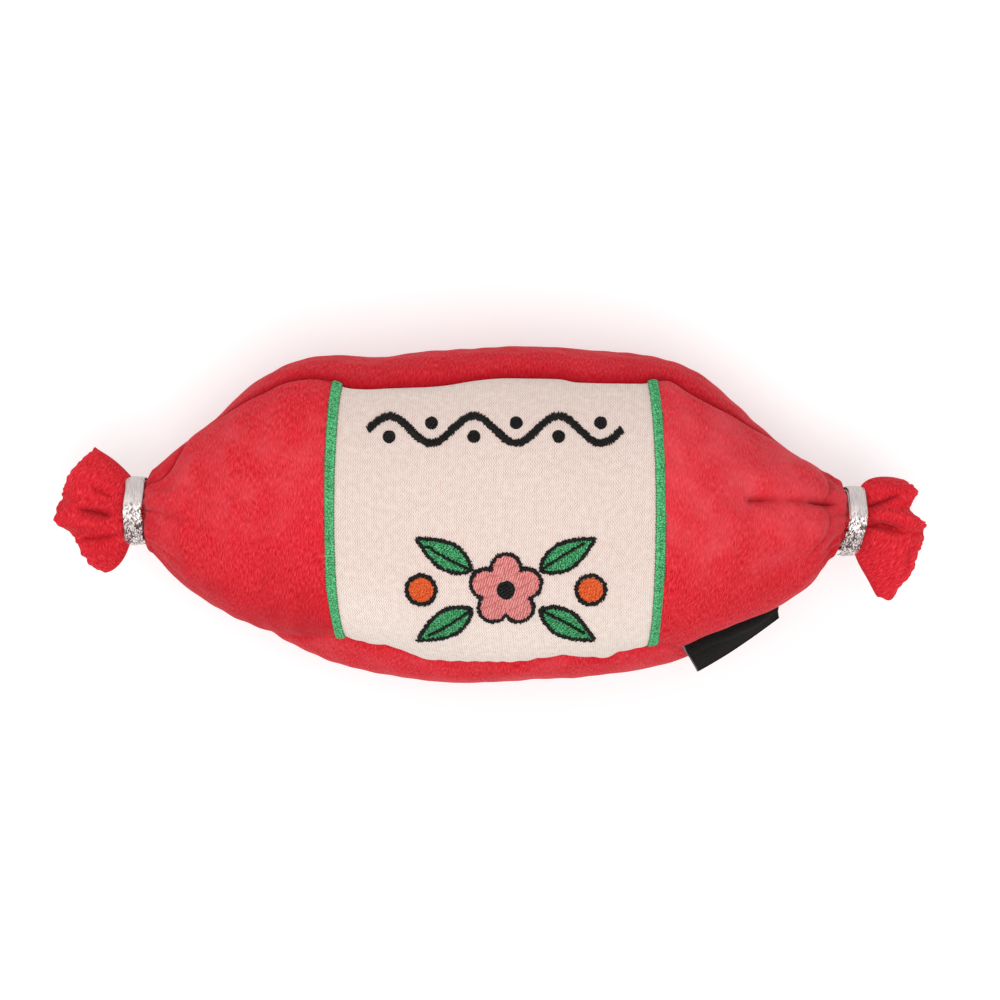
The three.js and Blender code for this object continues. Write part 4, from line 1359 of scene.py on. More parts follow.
@dataclass
class SatinBorder:
    """The green satin stitch that covers the seam on one side of the label."""

    side: Side
    width: float = 0.0029
    pitch: float = 0.00021
    strand: float = 0.00036
    height: float = 0.00055
    lift: float = 0.0004
    slant: float = 0.0007
    ragged: float = 0.00022
    past_seam: float = 0.0003
    needle_every: int = 4

    def build(self, work: ThreadWork, form: BodyForm) -> Piece:
        """Lays the border along the label's cross seam, from edge to edge."""
        seam = form.cross_seam(self.side)
        inner = seam - self.side.value * self.width
        steps, rings = 400, work.rings
        share = np.linspace(0.006, 0.992, steps)
        across = np.linspace(inner, seam + self.side.value * self.past_seam, rings)
        x, shares = np.meshgrid(across, share, indexing="ij")
        skin = form.points(x, shares, Face.FRONT)
        normals = grid_normals(skin)
        normals *= np.sign(normals[..., 2:3])
        lengths = lengths_along(skin[0])
        count = int(lengths[-1] / self.pitch)
        middle = np.linspace(0, lengths[-1], count)
        places = np.arange(steps)
        slants = np.linspace(-0.5, 0.5, rings) * self.slant
        rows = [np.interp(middle + slant, lengths, places) for slant in slants]
        base, normal = (
            np.stack([points_along(line, places, row) for line, row in zip(grid, rows)], axis=1)
            for grid in (skin, normals)
        )
        base += normal * work.height_over(base)[..., None]
        ragged = work.draw.uniform(0, self.ragged, (count, 2, 1))
        run = base[:, -1] - base[:, 0]
        run /= np.linalg.norm(run, axis=1, keepdims=True)
        base[:, 0] -= run * ragged[:, 0]
        base[:, -1] += run * ragged[:, 1]
        name = self.side.word + "_satin_stitches"
        obj = work.strands(name, base, normal, self.strand, self.height, self.lift)
        work.pierce(obj, self.needle_every)
        fasten(obj, work.wardrobe.border, BODY, "green_thread", self.side.word + "_satin_border")
        return obj


@dataclass
class Motifs:
    """The embroidered wave, dots, flower, leaves and berries on the label."""

    middle: float
    upper_edge: float
    lower_edge: float
    wave_rise: float = 0.0044
    wave_length: float = 0.027
    wave_count: int = 3
    wave_stroke: float = 0.0024
    wave_depth: float = 0.016
    dot_radius: float = 0.0021
    spray_rise: float = 0.023
    spray_shift: float = 0.0035
    flower_radius: float = 0.0115
    eye_radius: float = 0.003
    petals: int = 5
    notch_share: float = 0.66
    motif_gap: float = 0.0012
    leaf_length: float = 0.020
    leaf_width: float = 0.0084
    leaf_spread: float = math.radians(30)
    berry_radius: float = 0.004
    berry_distance: float = 0.027
    pitch: float = 0.00036
    strand: float = 0.0005
    height: float = 0.0005
    ragged: float = 0.00028
    outline: float = 0.0013
    outline_lift: float = 0.0002

    @property
    def spray(self) -> Array:
        """The flower's middle, seen from the front."""
        return np.array([self.middle + self.spray_shift, self.lower_edge + self.spray_rise])

    @property
    def wave_height(self) -> float:
        """The height of the wave's centre line, seen from the front."""
        return self.upper_edge - self.wave_depth

    def ribbed(self, work: ThreadWork, name: str, path: Array, width: float, lift: float) -> Piece:
        """Lays a line of stitches square across a path."""
        lengths = lengths_along(path)
        count = max(int(lengths[-1] / self.pitch), 3)
        middle = points_along(path, lengths, np.linspace(0, lengths[-1], count))
        run = np.gradient(middle, axis=0)
        run /= np.linalg.norm(run, axis=1, keepdims=True)
        out = left_of(run)
        ragged = work.draw.uniform(-self.ragged, self.ragged, (count, 2))
        slanted = run * self.pitch
        starts = middle - out * (width / 2 + ragged[:, :1]) - slanted
        ends = middle + out * (width / 2 + ragged[:, 1:]) + slanted
        return work.stitches(name, starts, ends, self.strand, self.height * 1.3, lift)

    def filled(self, work: ThreadWork, name: str, inside: Callable[[Array], Array], centre: Array,
               reach: float, heading: float, longest: float) -> Piece:
        """Fills a shape with rows of parallel stitches.

        Args:
            work: Lays the thread.
            name: The new piece's name.
            inside: Says which spots lie in the shape.
            centre: The shape's middle.
            reach: Its half size.
            heading: The stitches' direction.
            longest: The longest stitch.

        Returns:
            The filled shape.
        """
        run = direction(heading)
        out = left_of(run)
        starts, ends, rows = [], [], []
        fine = np.linspace(-reach, reach, 240)
        for k in range(int(2 * reach / self.pitch)):
            offset = -reach + (k + 0.5) * self.pitch
            spots = centre + out * offset + fine[:, None] * run
            flags = np.concatenate([[False], inside(spots), [False]])
            edges = np.flatnonzero(np.diff(flags.astype(int)))
            for a, b in zip(edges[::2], edges[1::2]):
                low, high = fine[a], fine[min(b, len(fine)) - 1]
                if high - low < self.pitch:
                    continue
                cut = low + longest * ((k * 0.37) % 1) - longest
                places = [low]
                while cut < high:
                    if low + longest * 0.2 < cut < high - longest * 0.2:
                        places.append(cut)
                    cut += longest
                places.append(high)
                for p, q in zip(places[:-1], places[1:]):
                    starts.append(centre + out * offset + run * p)
                    ends.append(centre + out * offset + run * q)
                    rows.append(k)
        pairs = (np.array(starts), np.array(ends))
        return work.stitches(name, *pairs, self.strand, self.height, rows=np.array(rows))

    def wave_along(self, share: Array) -> Array:
        """Where a share of the wave's length lies, along the toy."""
        return self.middle + (share - 0.5) * self.wave_count * self.wave_length

    def wave_path(self) -> Array:
        """The wave's centre line."""
        share = np.linspace(0, 1, 600)
        x = self.wave_along(share)
        y = self.wave_height + self.wave_rise * np.sin(share * self.wave_count * math.tau)
        return np.stack([x, y], axis=-1)

    def flower_edge(self, turn: Array) -> Array:
        """The flower's radius at a turn."""
        lobe = np.abs(np.cos(turn * self.petals / 2)) ** 0.7
        return self.flower_radius * (self.notch_share + (1 - self.notch_share) * lobe)

    def leaf_half(self, share: Array) -> Array:
        """A leaf's half width at a share of its length."""
        return self.leaf_width * 0.5 * np.sin(math.pi * share**0.8)

    def leaf_path(self, angle: float) -> Array:
        """The closed outline of a leaf that points away from the flower."""
        share = np.linspace(0, 1, 80)
        half = self.leaf_half(share)
        along = self.flower_radius + self.motif_gap + share * self.leaf_length
        upper = np.stack([along, half], axis=-1)
        lower = np.stack([along, -half], axis=-1)[::-1]
        ring = np.concatenate([upper, lower[1:]])
        heading = direction(angle)
        return ring @ np.stack([heading, left_of(heading)]) + self.spray

    def build(self, work: ThreadWork) -> None:
        """Stitches every motif."""
        wardrobe = work.wardrobe
        wave = self.ribbed(work, "wave_stitches", self.wave_path(), self.wave_stroke, self.outline_lift)
        fasten(wave, wardrobe.black, BODY, "black_thread", "embroidered_wave")
        for index in range(2 * self.wave_count):
            share = (index + 0.5) / (2 * self.wave_count)
            side = -1 if index % 2 == 0 else 1
            x = self.wave_along(share)
            y = self.wave_height + side * (self.wave_stroke / 2 + self.dot_radius - self.wave_rise / 4)
            spot = np.array([x, y])
            disc = self.disc(work, f"dot_stitches_{index + 1}", spot, self.dot_radius, 0.5 * index)
            fasten(disc, wardrobe.black, BODY, "black_thread", f"embroidered_dot_{index + 1}")
        self.flower(work)
        angles = (self.leaf_spread, math.pi - self.leaf_spread, math.pi + self.leaf_spread, -self.leaf_spread)
        for index, angle in enumerate(angles):
            self.leaf(work, index + 1, angle)
        for index, side in enumerate((1, -1)):
            spot = self.spray + np.array([side * self.berry_distance, 0])
            berry = self.disc(work, f"berry_stitches_{index + 1}", spot, self.berry_radius, 1.1)
            fasten(berry, wardrobe.orange, BODY, "orange_thread", f"embroidered_berry_{index + 1}")
            ring = self.ring(spot, self.berry_radius + self.outline / 2)
            edge = self.ribbed(work, f"berry_outline_{index + 1}", ring, self.outline, self.outline_lift)
            fasten(edge, wardrobe.black, BODY, "black_thread")

    def ring(self, centre: Array, radius: float) -> Array:
        """A closed circle's points."""
        turn = np.linspace(0, math.tau, 160)
        return centre + radius * np.stack([np.cos(turn), np.sin(turn)], axis=-1)

    def disc(self, work: ThreadWork, name: str, centre: Array, radius: float, heading: float) -> Piece:
        """Fills a round spot."""

        def inside(spots: Array) -> Array:
            """Whether spots lie in the disc."""
            return np.linalg.norm(spots - centre, axis=1) < radius

        return self.filled(work, name, inside, centre, radius, heading, 0.0034)

    def flower(self, work: ThreadWork) -> None:
        """Stitches the flower, its eye and its outline."""
        spray = self.spray

        def inside(spots: Array) -> Array:
            """Whether spots lie in the flower, outside its eye."""
            out = spots - spray
            radius = np.linalg.norm(out, axis=1)
            turn = np.arctan2(out[:, 0], out[:, 1])
            return (radius < self.flower_edge(turn)) & (radius > self.eye_radius)

        flower = self.filled(work, "flower_stitches", inside, spray, self.flower_radius, 1.25, 0.0036)
        fasten(flower, work.wardrobe.pink, BODY, "pink_thread", "embroidered_flower")
        eye = self.disc(work, "flower_eye_stitches", spray, self.eye_radius, 0.3)
        fasten(eye, work.wardrobe.black, BODY, "black_thread", "embroidered_flower_eye")
        turn = np.linspace(0, math.tau, 700)
        radius = self.flower_edge(turn)
        ring = spray + radius[:, None] * np.stack([np.sin(turn), np.cos(turn)], axis=-1)
        edge = self.ribbed(work, "flower_outline", ring, self.outline, self.outline_lift)
        fasten(edge, work.wardrobe.black, BODY, "black_thread")

    def leaf(self, work: ThreadWork, number: int, angle: float) -> None:
        """Stitches one leaf with its outline and midrib."""
        ring = self.leaf_path(angle)
        heading = direction(angle)
        out = left_of(heading)
        root = self.spray + heading * (self.flower_radius + self.motif_gap)
        centre = root + heading * self.leaf_length / 2

        def inside(spots: Array) -> Array:
            """Whether spots lie in the leaf, off its midrib."""
            away = spots - root
            share = np.clip(away @ heading / self.leaf_length, 0, 1)
            return (np.abs(away @ out) < self.leaf_half(share)) & (share > 0) & (share < 1)

        leaf = self.filled(work, f"leaf_stitches_{number}", inside, centre, self.leaf_length / 2,
                           angle + math.radians(62), 0.003)
        fasten(leaf, work.wardrobe.green, BODY, "green_thread", f"embroidered_leaf_{number}")
        edge = self.ribbed(work, f"leaf_outline_{number}", ring, self.outline, self.outline_lift)
        fasten(edge, work.wardrobe.black, BODY, "black_thread")
        share = np.linspace(0.04, 0.8, 60)[:, None]
        rib = root + heading * self.leaf_length * share + out * 0.0006 * np.sin(3 * share)
        vein = self.ribbed(work, f"leaf_vein_{number}", rib, 0.0007, 0.0005)
        fasten(vein, work.wardrobe.black, BODY, "black_thread")


# Tied ends


@dataclass
class TiedEnd:
    """One tied end: the squeezed cloth, the ribbon round it and the ruff past it."""

    side: Side
    neck: Vector
    root: Vector
    lean: Lean
    rim_along: Pairs
    rim_across: Pairs
    valleys: tuple[float, ...]
    creases: tuple[Crease, ...]
    bulges: tuple[Bulge, ...]
    ribbon_turn: float
    ribbon_width: float
    ribbon_drift: float
    belly: tuple[float, float]
    side_bow: tuple[float, float]
    start_back: tuple[float, float]
    back_valleys: tuple[float, ...] = (0.27, 0.6, 0.82)
    back_share: float = 0.92
    half_depth: float = 0.0112
    sleeve_radius: float = 0.0085
    ribbon_start: float = 0.0032
    ribbon_radius: float = 0.0091
    ribbon_pitch: float = 0.0011
    ribbon_turns: float = 2.15
    ribbon_thickness: float = 0.00035
    crease_line: float = 0.36
    rise_share: float = 0.8
    sleeve: float = 0.16
    tuck: float = 0.0004
    layer_gap: float = 0.0002
    rim_curl: float = 0.0022
    gather_count: int = 17
    gather_depth: float = 0.0006
    cloth: float = 0.0014
    rim_wave: float = 0.00026
    rim_fray: float = 0.0001
    press_depth: float = 0.00026
    press_width: float = 0.00035
    foil_cup: float = 0.0004
    foil_dent: float = 0.0001
    foil_sway: float = 0.0002
    loose_end: float = 0.0007
    bunch_radius: float = 0.0068
    bunch_pleat: float = 0.0005
    bunch_inside: float = 0.009
    bunch_past_root: float = 0.011

    @property
    def tie_body(self) -> str:
        """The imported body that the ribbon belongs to."""
        return self.side.word + "_tie"

    @property
    def ruff_body(self) -> str:
        """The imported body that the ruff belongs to."""
        return self.side.word + "_ruff"

    def ruff_points(self, s: Array, t: Array, face: Face) -> Array:
        """Places points on one layer of the ruff.

        Args:
            s: 0 under the ribbon to 1 at the cut edge.
            t: 0 to 1 across the layer.
            face: The layer.

        Returns:
            The points, in the row frame.
        """
        across = 1 - t if face is Face.FRONT else t
        sign = 1 if face is Face.FRONT else -1
        reach = 1.0 if face is Face.FRONT else self.back_share
        turn = across * math.pi
        cosine, sine = np.cos(turn), np.sin(turn)
        rim_x = curve_through(self.rim_along, across) * reach
        rim_y = curve_through(self.rim_across, across) * reach
        edges = np.array((0.0, *(self.valleys if face is Face.FRONT else self.back_valleys), 1.0))
        k = np.clip(np.searchsorted(edges, across, side="right") - 1, 0, len(edges) - 2)
        lobe = np.sin(math.pi * (across - edges[k]) / (edges[k + 1] - edges[k])) ** 0.75
        flare = np.clip((s - self.sleeve) / (1 - self.sleeve), 0, 1)
        valley = (0.12 + 0.34 * flare) * (1 - lobe)
        rim_z = self.half_depth * np.sqrt(np.abs(sine)) * (1 - valley)
        back = self.start_back[0] + (self.start_back[1] - self.start_back[0]) * across
        start_x = -self.tuck - back * cosine**2
        start_y = self.sleeve_radius * cosine
        start_z = self.sleeve_radius * np.abs(sine)
        side = cosine**2
        belly = self.belly[0] + (self.belly[1] - self.belly[0]) * across
        bow = self.side_bow[0] + (self.side_bow[1] - self.side_bow[0]) * across
        control_x = rim_x / 2 - bow * side
        weights = ((1 - flare) ** 2, 2 * flare * (1 - flare), flare**2)
        x = weights[0] * start_x + weights[1] * control_x + weights[2] * rim_x
        y = weights[0] * start_y + weights[1] * belly * rim_y + weights[2] * rim_y
        z = weights[0] * start_z + weights[1] * self.rise_share * rim_z + weights[2] * rim_z
        gathers = self.gather_depth * np.cos(self.gather_count * turn) * (1 - flare) ** 2
        z = z + gathers * np.abs(sine)
        inside = np.clip(1 - s / self.sleeve, 0, 1)
        x = x - inside * (self.ribbon_width / 2 + self.tuck)
        curl = self.rim_curl * smooth_step(0.8, 1.0, flare)
        z = z - curl * np.abs(sine)
        along = self.root.x + self.side.value * x
        up = self.root.y + y
        deep = self.root.z + sign * (z + self.layer_gap)
        along = along + (1 - flare) ** 2 * self.lean.shift(up, deep)
        return np.stack([along, up, deep], axis=-1)

    def ruff_layer(self, face: Face) -> Piece:
        """Models one layer of the ruff, with its folds and ragged cut edge."""
        draw = np.random.default_rng(SEED + self.side.value + (5 if face is Face.FRONT else 9))
        columns, rows = 56, 128
        knots = 55
        coarse, fine = np.linspace(0, 1, knots), np.linspace(0, 1, rows + 1)
        jag = np.interp(fine, coarse, draw.normal(0, self.rim_wave, knots))
        jag += draw.normal(0, self.rim_fray, rows + 1)

        def plain(s: Array, t: Array) -> Array:
            """The layer's outer side before it is creased."""
            return self.ruff_points(s, 1 - t if self.side is Side.LEFT else t, face)

        def pressed(s: Array, t: Array) -> Array:
            """How deep the creases press."""
            points = plain(s, t)
            if face is Face.BACK:
                return np.zeros(s.shape)
            return sum(crease.press(points[..., 0], points[..., 1]) for crease in self.creases)

        def surface(s: Array, t: Array) -> Array:
            """The layer's outer side, with the pile standing past the cut."""
            points = plain(s, t)
            outward = points - np.array(self.root)
            outward /= np.maximum(np.linalg.norm(outward, axis=-1, keepdims=True), 1e-9)
            near = smooth_step(0.94, 1.0, s)[..., None]
            moved = points + outward * near * jag[None, :, None]
            lift = 0.0005 * ripple(points[..., 0], points[..., 1], 0.006, 11 if face is Face.FRONT else 12)
            lift = lift - pressed(s, t)
            if face is Face.FRONT:
                lift = lift + sum(bulge.rise(points[..., 0], points[..., 1]) for bulge in self.bulges)
            upward = np.array([0.0, 0.0, 1.0 if face is Face.FRONT else -1.0])
            push = grid_normals(points) * 0.5 + upward * 0.5
            return moved + push * (lift * smooth_step(0.12, 0.4, s))[..., None]

        def fold(s: Array, t: Array) -> Array:
            """Painted shade from 0 to 1: in creases, and towards the ribbon."""
            return np.clip(crease_shade(pressed(s, t)), 0, 1) + 0.3 * smooth_step(0.36, self.sleeve, s)

        def nap(s: Array, t: Array) -> Array:
            """Painted shade towards the tie and painted light at the cut edge, partly as the pile stands
            there.
            """
            return -0.3 + 0.6 * smooth_step(0.8, 1.0, s)

        marks = {"fold": fold, "nap": nap}
        name = f"{self.side.word}_ruff_{face.value}_cloth"
        obj = sheet_grid(name, columns, rows, surface, (0.0, 0.5), marks)
        thicken(obj, self.cloth, 1)
        return obj

    def ribbon(self) -> Piece:
        """Winds the ribbon, with its pressed line, smooth upper turns and crumpled lower ones."""
        draw = np.random.default_rng(SEED + 40 + self.side.value)
        columns, rows = 240, 10
        dents = draw.normal(0, self.foil_dent, (columns + 1, rows + 1))

        def crumple(s: Array, t: Array) -> Array:
            """1 where the foil is crumpled, at the front and below, and 0 where it lies smooth."""
            turn = self.ribbon_turn + s * self.ribbon_turns * math.tau
            return smooth_step(0.45, -0.25, np.cos(turn)) * smooth_step(-1.08, -0.92, np.cos(turn))

        def surface(s: Array, t: Array) -> Array:
            """The ribbon's outer side."""
            turn = self.ribbon_turn + s * self.ribbon_turns * math.tau
            radius = self.ribbon_radius + s * self.ribbon_turns * self.ribbon_pitch
            offset = (t - 0.5) * self.ribbon_width
            middle = self.side.value * (0.5 - self.crease_line) * self.ribbon_width
            pressed = self.press_depth * np.exp(-(((offset - middle) / self.press_width) ** 2))
            cupped = self.foil_cup * (2 * t - 1) ** 2
            radius = radius - pressed - cupped + dents * (0.15 + crumple(s, t))
            loose = smooth_step(0.965, 1.0, s) * self.loose_end
            along = self.ribbon_start + self.ribbon_width / 2 + s * self.ribbon_drift
            y = self.neck.y + (radius + loose) * np.cos(turn)
            z = self.neck.z + (radius + loose) * np.sin(turn)
            x = self.neck.x + self.side.value * (along + offset + self.foil_sway * np.sin(5 * turn))
            return np.stack([x + self.lean.shift(y, z), y, z], axis=-1)

        def outward(made: Surface) -> Surface:
            """The same values, with the grid turned so that its normals point away from the neck."""
            return (lambda s, t: made(s, 1 - t)) if self.side is Side.RIGHT else made

        name = self.side.word + "_ribbon"
        obj = sheet_grid(name, columns, rows, outward(surface), marks={"crumple": outward(crumple)})
        self.turn_flow(obj)
        thicken(obj, self.ribbon_thickness, 1)
        return obj

    def turn_flow(self, obj: Piece) -> None:
        """Swaps the two directions of a piece's UV lengths."""
        layer = obj.data.uv_layers[UV_NAME]
        flow = np.empty(len(obj.data.loops) * 2)
        layer.data.foreach_get("uv", flow)
        layer.data.foreach_set("uv", flow.reshape(-1, 2)[:, ::-1].ravel())

    def bunch(self) -> Piece:
        """Models the cloth squeezed inside the ribbon, cinched to a puckered end."""
        length = abs(self.root.x - self.neck.x) + self.bunch_past_root

        def surface(s: Array, t: Array) -> Array:
            """The bunch's pleated outside, drawn in at both ends."""
            turn = t * math.tau
            ends = np.sqrt(np.clip(1 - (2 * s - 1) ** 4, 0, 1))
            radius = self.bunch_radius * ends + 0.0001
            fullness = (0.4 + 0.6 * ends) * (radius / self.bunch_radius)
            pleat = self.bunch_pleat * np.cos(11 * turn) * fullness
            x = self.neck.x + self.side.value * (-self.bunch_inside + s * length)
            y = self.neck.y + (radius + pleat) * np.cos(turn)
            z = self.neck.z + (radius + pleat) * np.sin(turn)
            return np.stack([x, y, z], axis=-1)

        made = sheet_grid(self.side.word + "_neck_bunch", 40, 96, surface)
        choose(made)
        bpy.ops.object.mode_set(mode="EDIT")
        bpy.ops.mesh.select_all(action="SELECT")
        bpy.ops.mesh.remove_doubles(threshold=MERGE_DISTANCE)
        bpy.ops.mesh.fill_holes(sides=200)
        bpy.ops.mesh.normals_make_consistent(inside=False)
        bpy.ops.object.mode_set(mode="OBJECT")
        smooth_faces(made)
        return made

    def build(self, wardrobe: Wardrobe) -> None:
        """Builds and dresses the end's pieces, and fastens the bunch and the ribbon to the tie."""
        word = self.side.word
        bunch = self.bunch()
        fasten(bunch, wardrobe.plush, self.tie_body, "red_plush", word + "_neck_gather")
        ribbon = self.ribbon()
        fasten(ribbon, wardrobe.lame, self.tie_body, "silver_ribbon", word + "_tie_ribbon")
        for face in Face:
            layer = self.ruff_layer(face)
            bodies, node = (self.tie_body, self.ruff_body), f"{word}_ruff_{face.value}"
            bend_into(layer, wardrobe.plush, bodies, node)


LEFT_CREASES = (
    Crease(((-0.1335, 0.0097), (-0.13, 0.0086), (-0.1265, 0.0068), (-0.1225, 0.005)), 0.0022, 0.0034, 0.4,
           0.3),
    Crease(((-0.137, 0.0018), (-0.1335, 0.0017), (-0.13, 0.001), (-0.1265, 0.0001), (-0.123, -0.0002)),
           0.0036, 0.0036, 0.3, 0.3),
    Crease(((-0.1375, -0.0076), (-0.132, -0.0076), (-0.126, -0.0072), (-0.1215, -0.0066)), 0.0024, 0.0036,
           0.3, 0.3),
    Crease(((-0.1408, 0.005), (-0.1412, 0.0026), (-0.1406, 0.0004)), 0.0008, 0.0016, 0.3, 0.3),
    Crease(((-0.1315, 0.0165), (-0.127, 0.0125), (-0.1225, 0.009)), 0.0005, 0.003, 0.4, 0.2),
)
LEFT_BULGES = (
    Bulge(-0.1285, 0.0128, 0.0055, 0.0048, 0.0012),
    Bulge(-0.133, 0.0052, 0.005, 0.0024, 0.0009),
    Bulge(-0.1315, -0.0032, 0.0075, 0.0028, 0.0016),
    Bulge(-0.1265, -0.0118, 0.0045, 0.0045, 0.001),
)
RIGHT_CREASES = (
    Crease(((0.1372, 0.0073), (0.134, 0.0062), (0.1302, 0.0044), (0.1262, 0.0032), (0.1235, 0.0027)),
           0.0034, 0.0034, 0.35, 0.15),
    Crease(((0.1385, -0.006), (0.1343, -0.0046), (0.1294, -0.0033), (0.1256, -0.0037), (0.1235, -0.0036)),
           0.0034, 0.0034, 0.35, 0.15),
    Crease(((0.1425, -0.0098), (0.1398, -0.0108), (0.139, -0.0143), (0.1383, -0.018), (0.1366, -0.0218)),
           0.0015, 0.0018, 0.2, 0.2),
    Crease(((0.133, -0.016), (0.1285, -0.0125), (0.1245, -0.0095)), 0.0006, 0.003, 0.4, 0.2),
)
RIGHT_BULGES = (
    Bulge(0.1315, 0.0088, 0.0065, 0.0032, 0.0012),
    Bulge(0.1335, 0.0008, 0.006, 0.003, 0.0014),
    Bulge(0.1325, -0.0125, 0.0055, 0.006, 0.0011),
)
LEFT_RIM_ALONG: Pairs = (
    (0, 0.0104), (0.08, 0.0126), (0.2, 0.0168), (0.34, 0.0204), (0.44, 0.0217), (0.53, 0.0228),
    (0.58, 0.022), (0.64, 0.019), (0.7, 0.0165), (0.8, 0.0145), (0.9, 0.0121), (1, 0.0079),
)
LEFT_RIM_ACROSS: Pairs = (
    (0, 0.0209), (0.08, 0.0186), (0.2, 0.0137), (0.34, 0.007), (0.44, 0.0022), (0.53, -0.0021),
    (0.58, -0.0046), (0.64, -0.007), (0.7, -0.0094), (0.8, -0.0138), (0.9, -0.0178), (1, -0.0211),
)
RIGHT_RIM_ALONG: Pairs = (
    (0, 0.0116), (0.1, 0.0154), (0.17, 0.0176), (0.25, 0.0162), (0.33, 0.0148), (0.41, 0.0183),
    (0.5, 0.0197), (0.6, 0.0189), (0.7, 0.0172), (0.8, 0.0152), (0.9, 0.0115), (0.96, 0.0082),
    (1, 0.0046),
)
RIGHT_RIM_ACROSS: Pairs = (
    (0, 0.0141), (0.1, 0.0115), (0.17, 0.0092), (0.25, 0.0066), (0.33, 0.0033), (0.41, 0.0002),
    (0.5, -0.0033), (0.6, -0.0076), (0.7, -0.0122), (0.8, -0.017), (0.9, -0.0229), (0.96, -0.027),
    (1, -0.0262),
)


# Side tag


@dataclass
class SideTag:
    """The woven tape folded into a loop and caught in the lower seam."""

    root: Vector
    axis: Vector
    form: BodyForm
    near_inner: float = 0.0642
    far_inner: float = 0.0965
    near_reach: float = 0.0058
    far_reach: float = 0.0009
    near_end: float = 0.0003
    far_end: float = 0.0328
    half_gap: float = 0.00035
    tape: float = 0.00045
    clearance: float = 0.0003
    fold_swell: float = 0.0007
    fold_wave: float = 0.0006
    arch_share: float = 0.18
    root_share: float = 0.15
    flat_share: float = 0.44
    bend_share: float = 0.12
    bend_before: float = 0.0006
    bend_past: float = 0.0009

    @property
    def out(self) -> Vector:
        """Straight away from the seam, along the floor."""
        return Vector((self.axis.y, -self.axis.x, 0)).normalized()

    def middle_sheet(self, cloth: BVHTree) -> Array:
        """Lays the middle of the folded tape from the seam over the cloth's roll to its fold.

        Args:
            cloth: The back cloth's surface.

        Returns:
            A grid of points, from the seam to the fold and from the near end to the far one.
        """
        steps, ends = 24, 48
        r, t = np.meshgrid(np.linspace(0, 1, steps + 1), np.linspace(0, 1, ends + 1), indexing="ij")
        x = self.near_inner + (self.far_inner - self.near_inner) * t
        seam = self.form.points(x, np.ones(x.shape), Face.FRONT)
        root, axis, out = (np.array(v) for v in (self.root, self.axis, self.out))
        along = self.near_end + (self.far_end - self.near_end) * t
        reach = self.near_reach + (self.far_reach - self.near_reach) * t
        reach = reach + self.fold_swell * np.sin(math.pi * t)
        fold = root + along[..., None] * axis + reach[..., None] * out
        fold[..., 2] += self.fold_wave * np.sin(2.2 * math.pi * t + 0.4)
        share = r[..., None]
        points = seam * (1 - share) + fold * share
        arch = np.sin(math.pi * r) * np.linalg.norm(fold - seam, axis=-1) * self.arch_share
        points[..., 2] += arch
        room = self.half_gap + self.tape + self.clearance
        for index in np.ndindex(r.shape):
            spot = Vector(points[index])
            hit, normal, _, _ = cloth.find_nearest(spot)
            over = (spot - hit).dot(normal)
            past_root = smooth_step(0, self.root_share, r[index])
            if over < room * past_root:
                points[index] = spot + normal * (room - over) * past_root
        return points

    def build(self, wardrobe: Wardrobe, back: Piece) -> None:
        """Models and dresses the tag."""
        cloth = BVHTree.FromObject(back, bpy.context.evaluated_depsgraph_get())
        middle = self.middle_sheet(cloth)
        normals = grid_normals(middle)
        normals *= np.sign(normals[..., 2:3] + 1e-9)
        reach = np.linspace(0, 1, len(middle))

        def surface(s: Array, t: Array) -> Array:
            """The tape's outer side, over the top, round the fold and back below."""
            half = self.half_gap + self.tape
            column = np.rint(t[0] * (middle.shape[1] - 1)).astype(int)
            points = np.empty((*s.shape, 3))
            for i, way in enumerate(s[:, 0]):
                bend = np.clip((way - self.flat_share) / self.bend_share, 0, 1) * math.pi
                at = np.interp(np.minimum(way, 1 - way) / self.flat_share, reach, np.arange(len(reach)))
                low, high = int(math.floor(at)), int(math.ceil(at))
                part = at - low
                spot = middle[low] * (1 - part) + middle[high] * part
                up = normals[low] * (1 - part) + normals[high] * part
                side = half * math.cos(bend)
                points[i] = (spot + up * side + np.array(self.out) * half * math.sin(bend))[column]
            return points

        def pale(s: Array, t: Array) -> Array:
            """1 at the tape's near cut side, where its pale back shows."""
            return smooth_step(0.02, 0.0, t)

        obj = sheet_grid("side_tag_loop", 64, 48, surface, marks={"inside": pale})
        thicken(obj, self.tape, 1)
        bend_into(obj, wardrobe.tape, (BODY, "tag"), "side_tag")


# Inside of the body


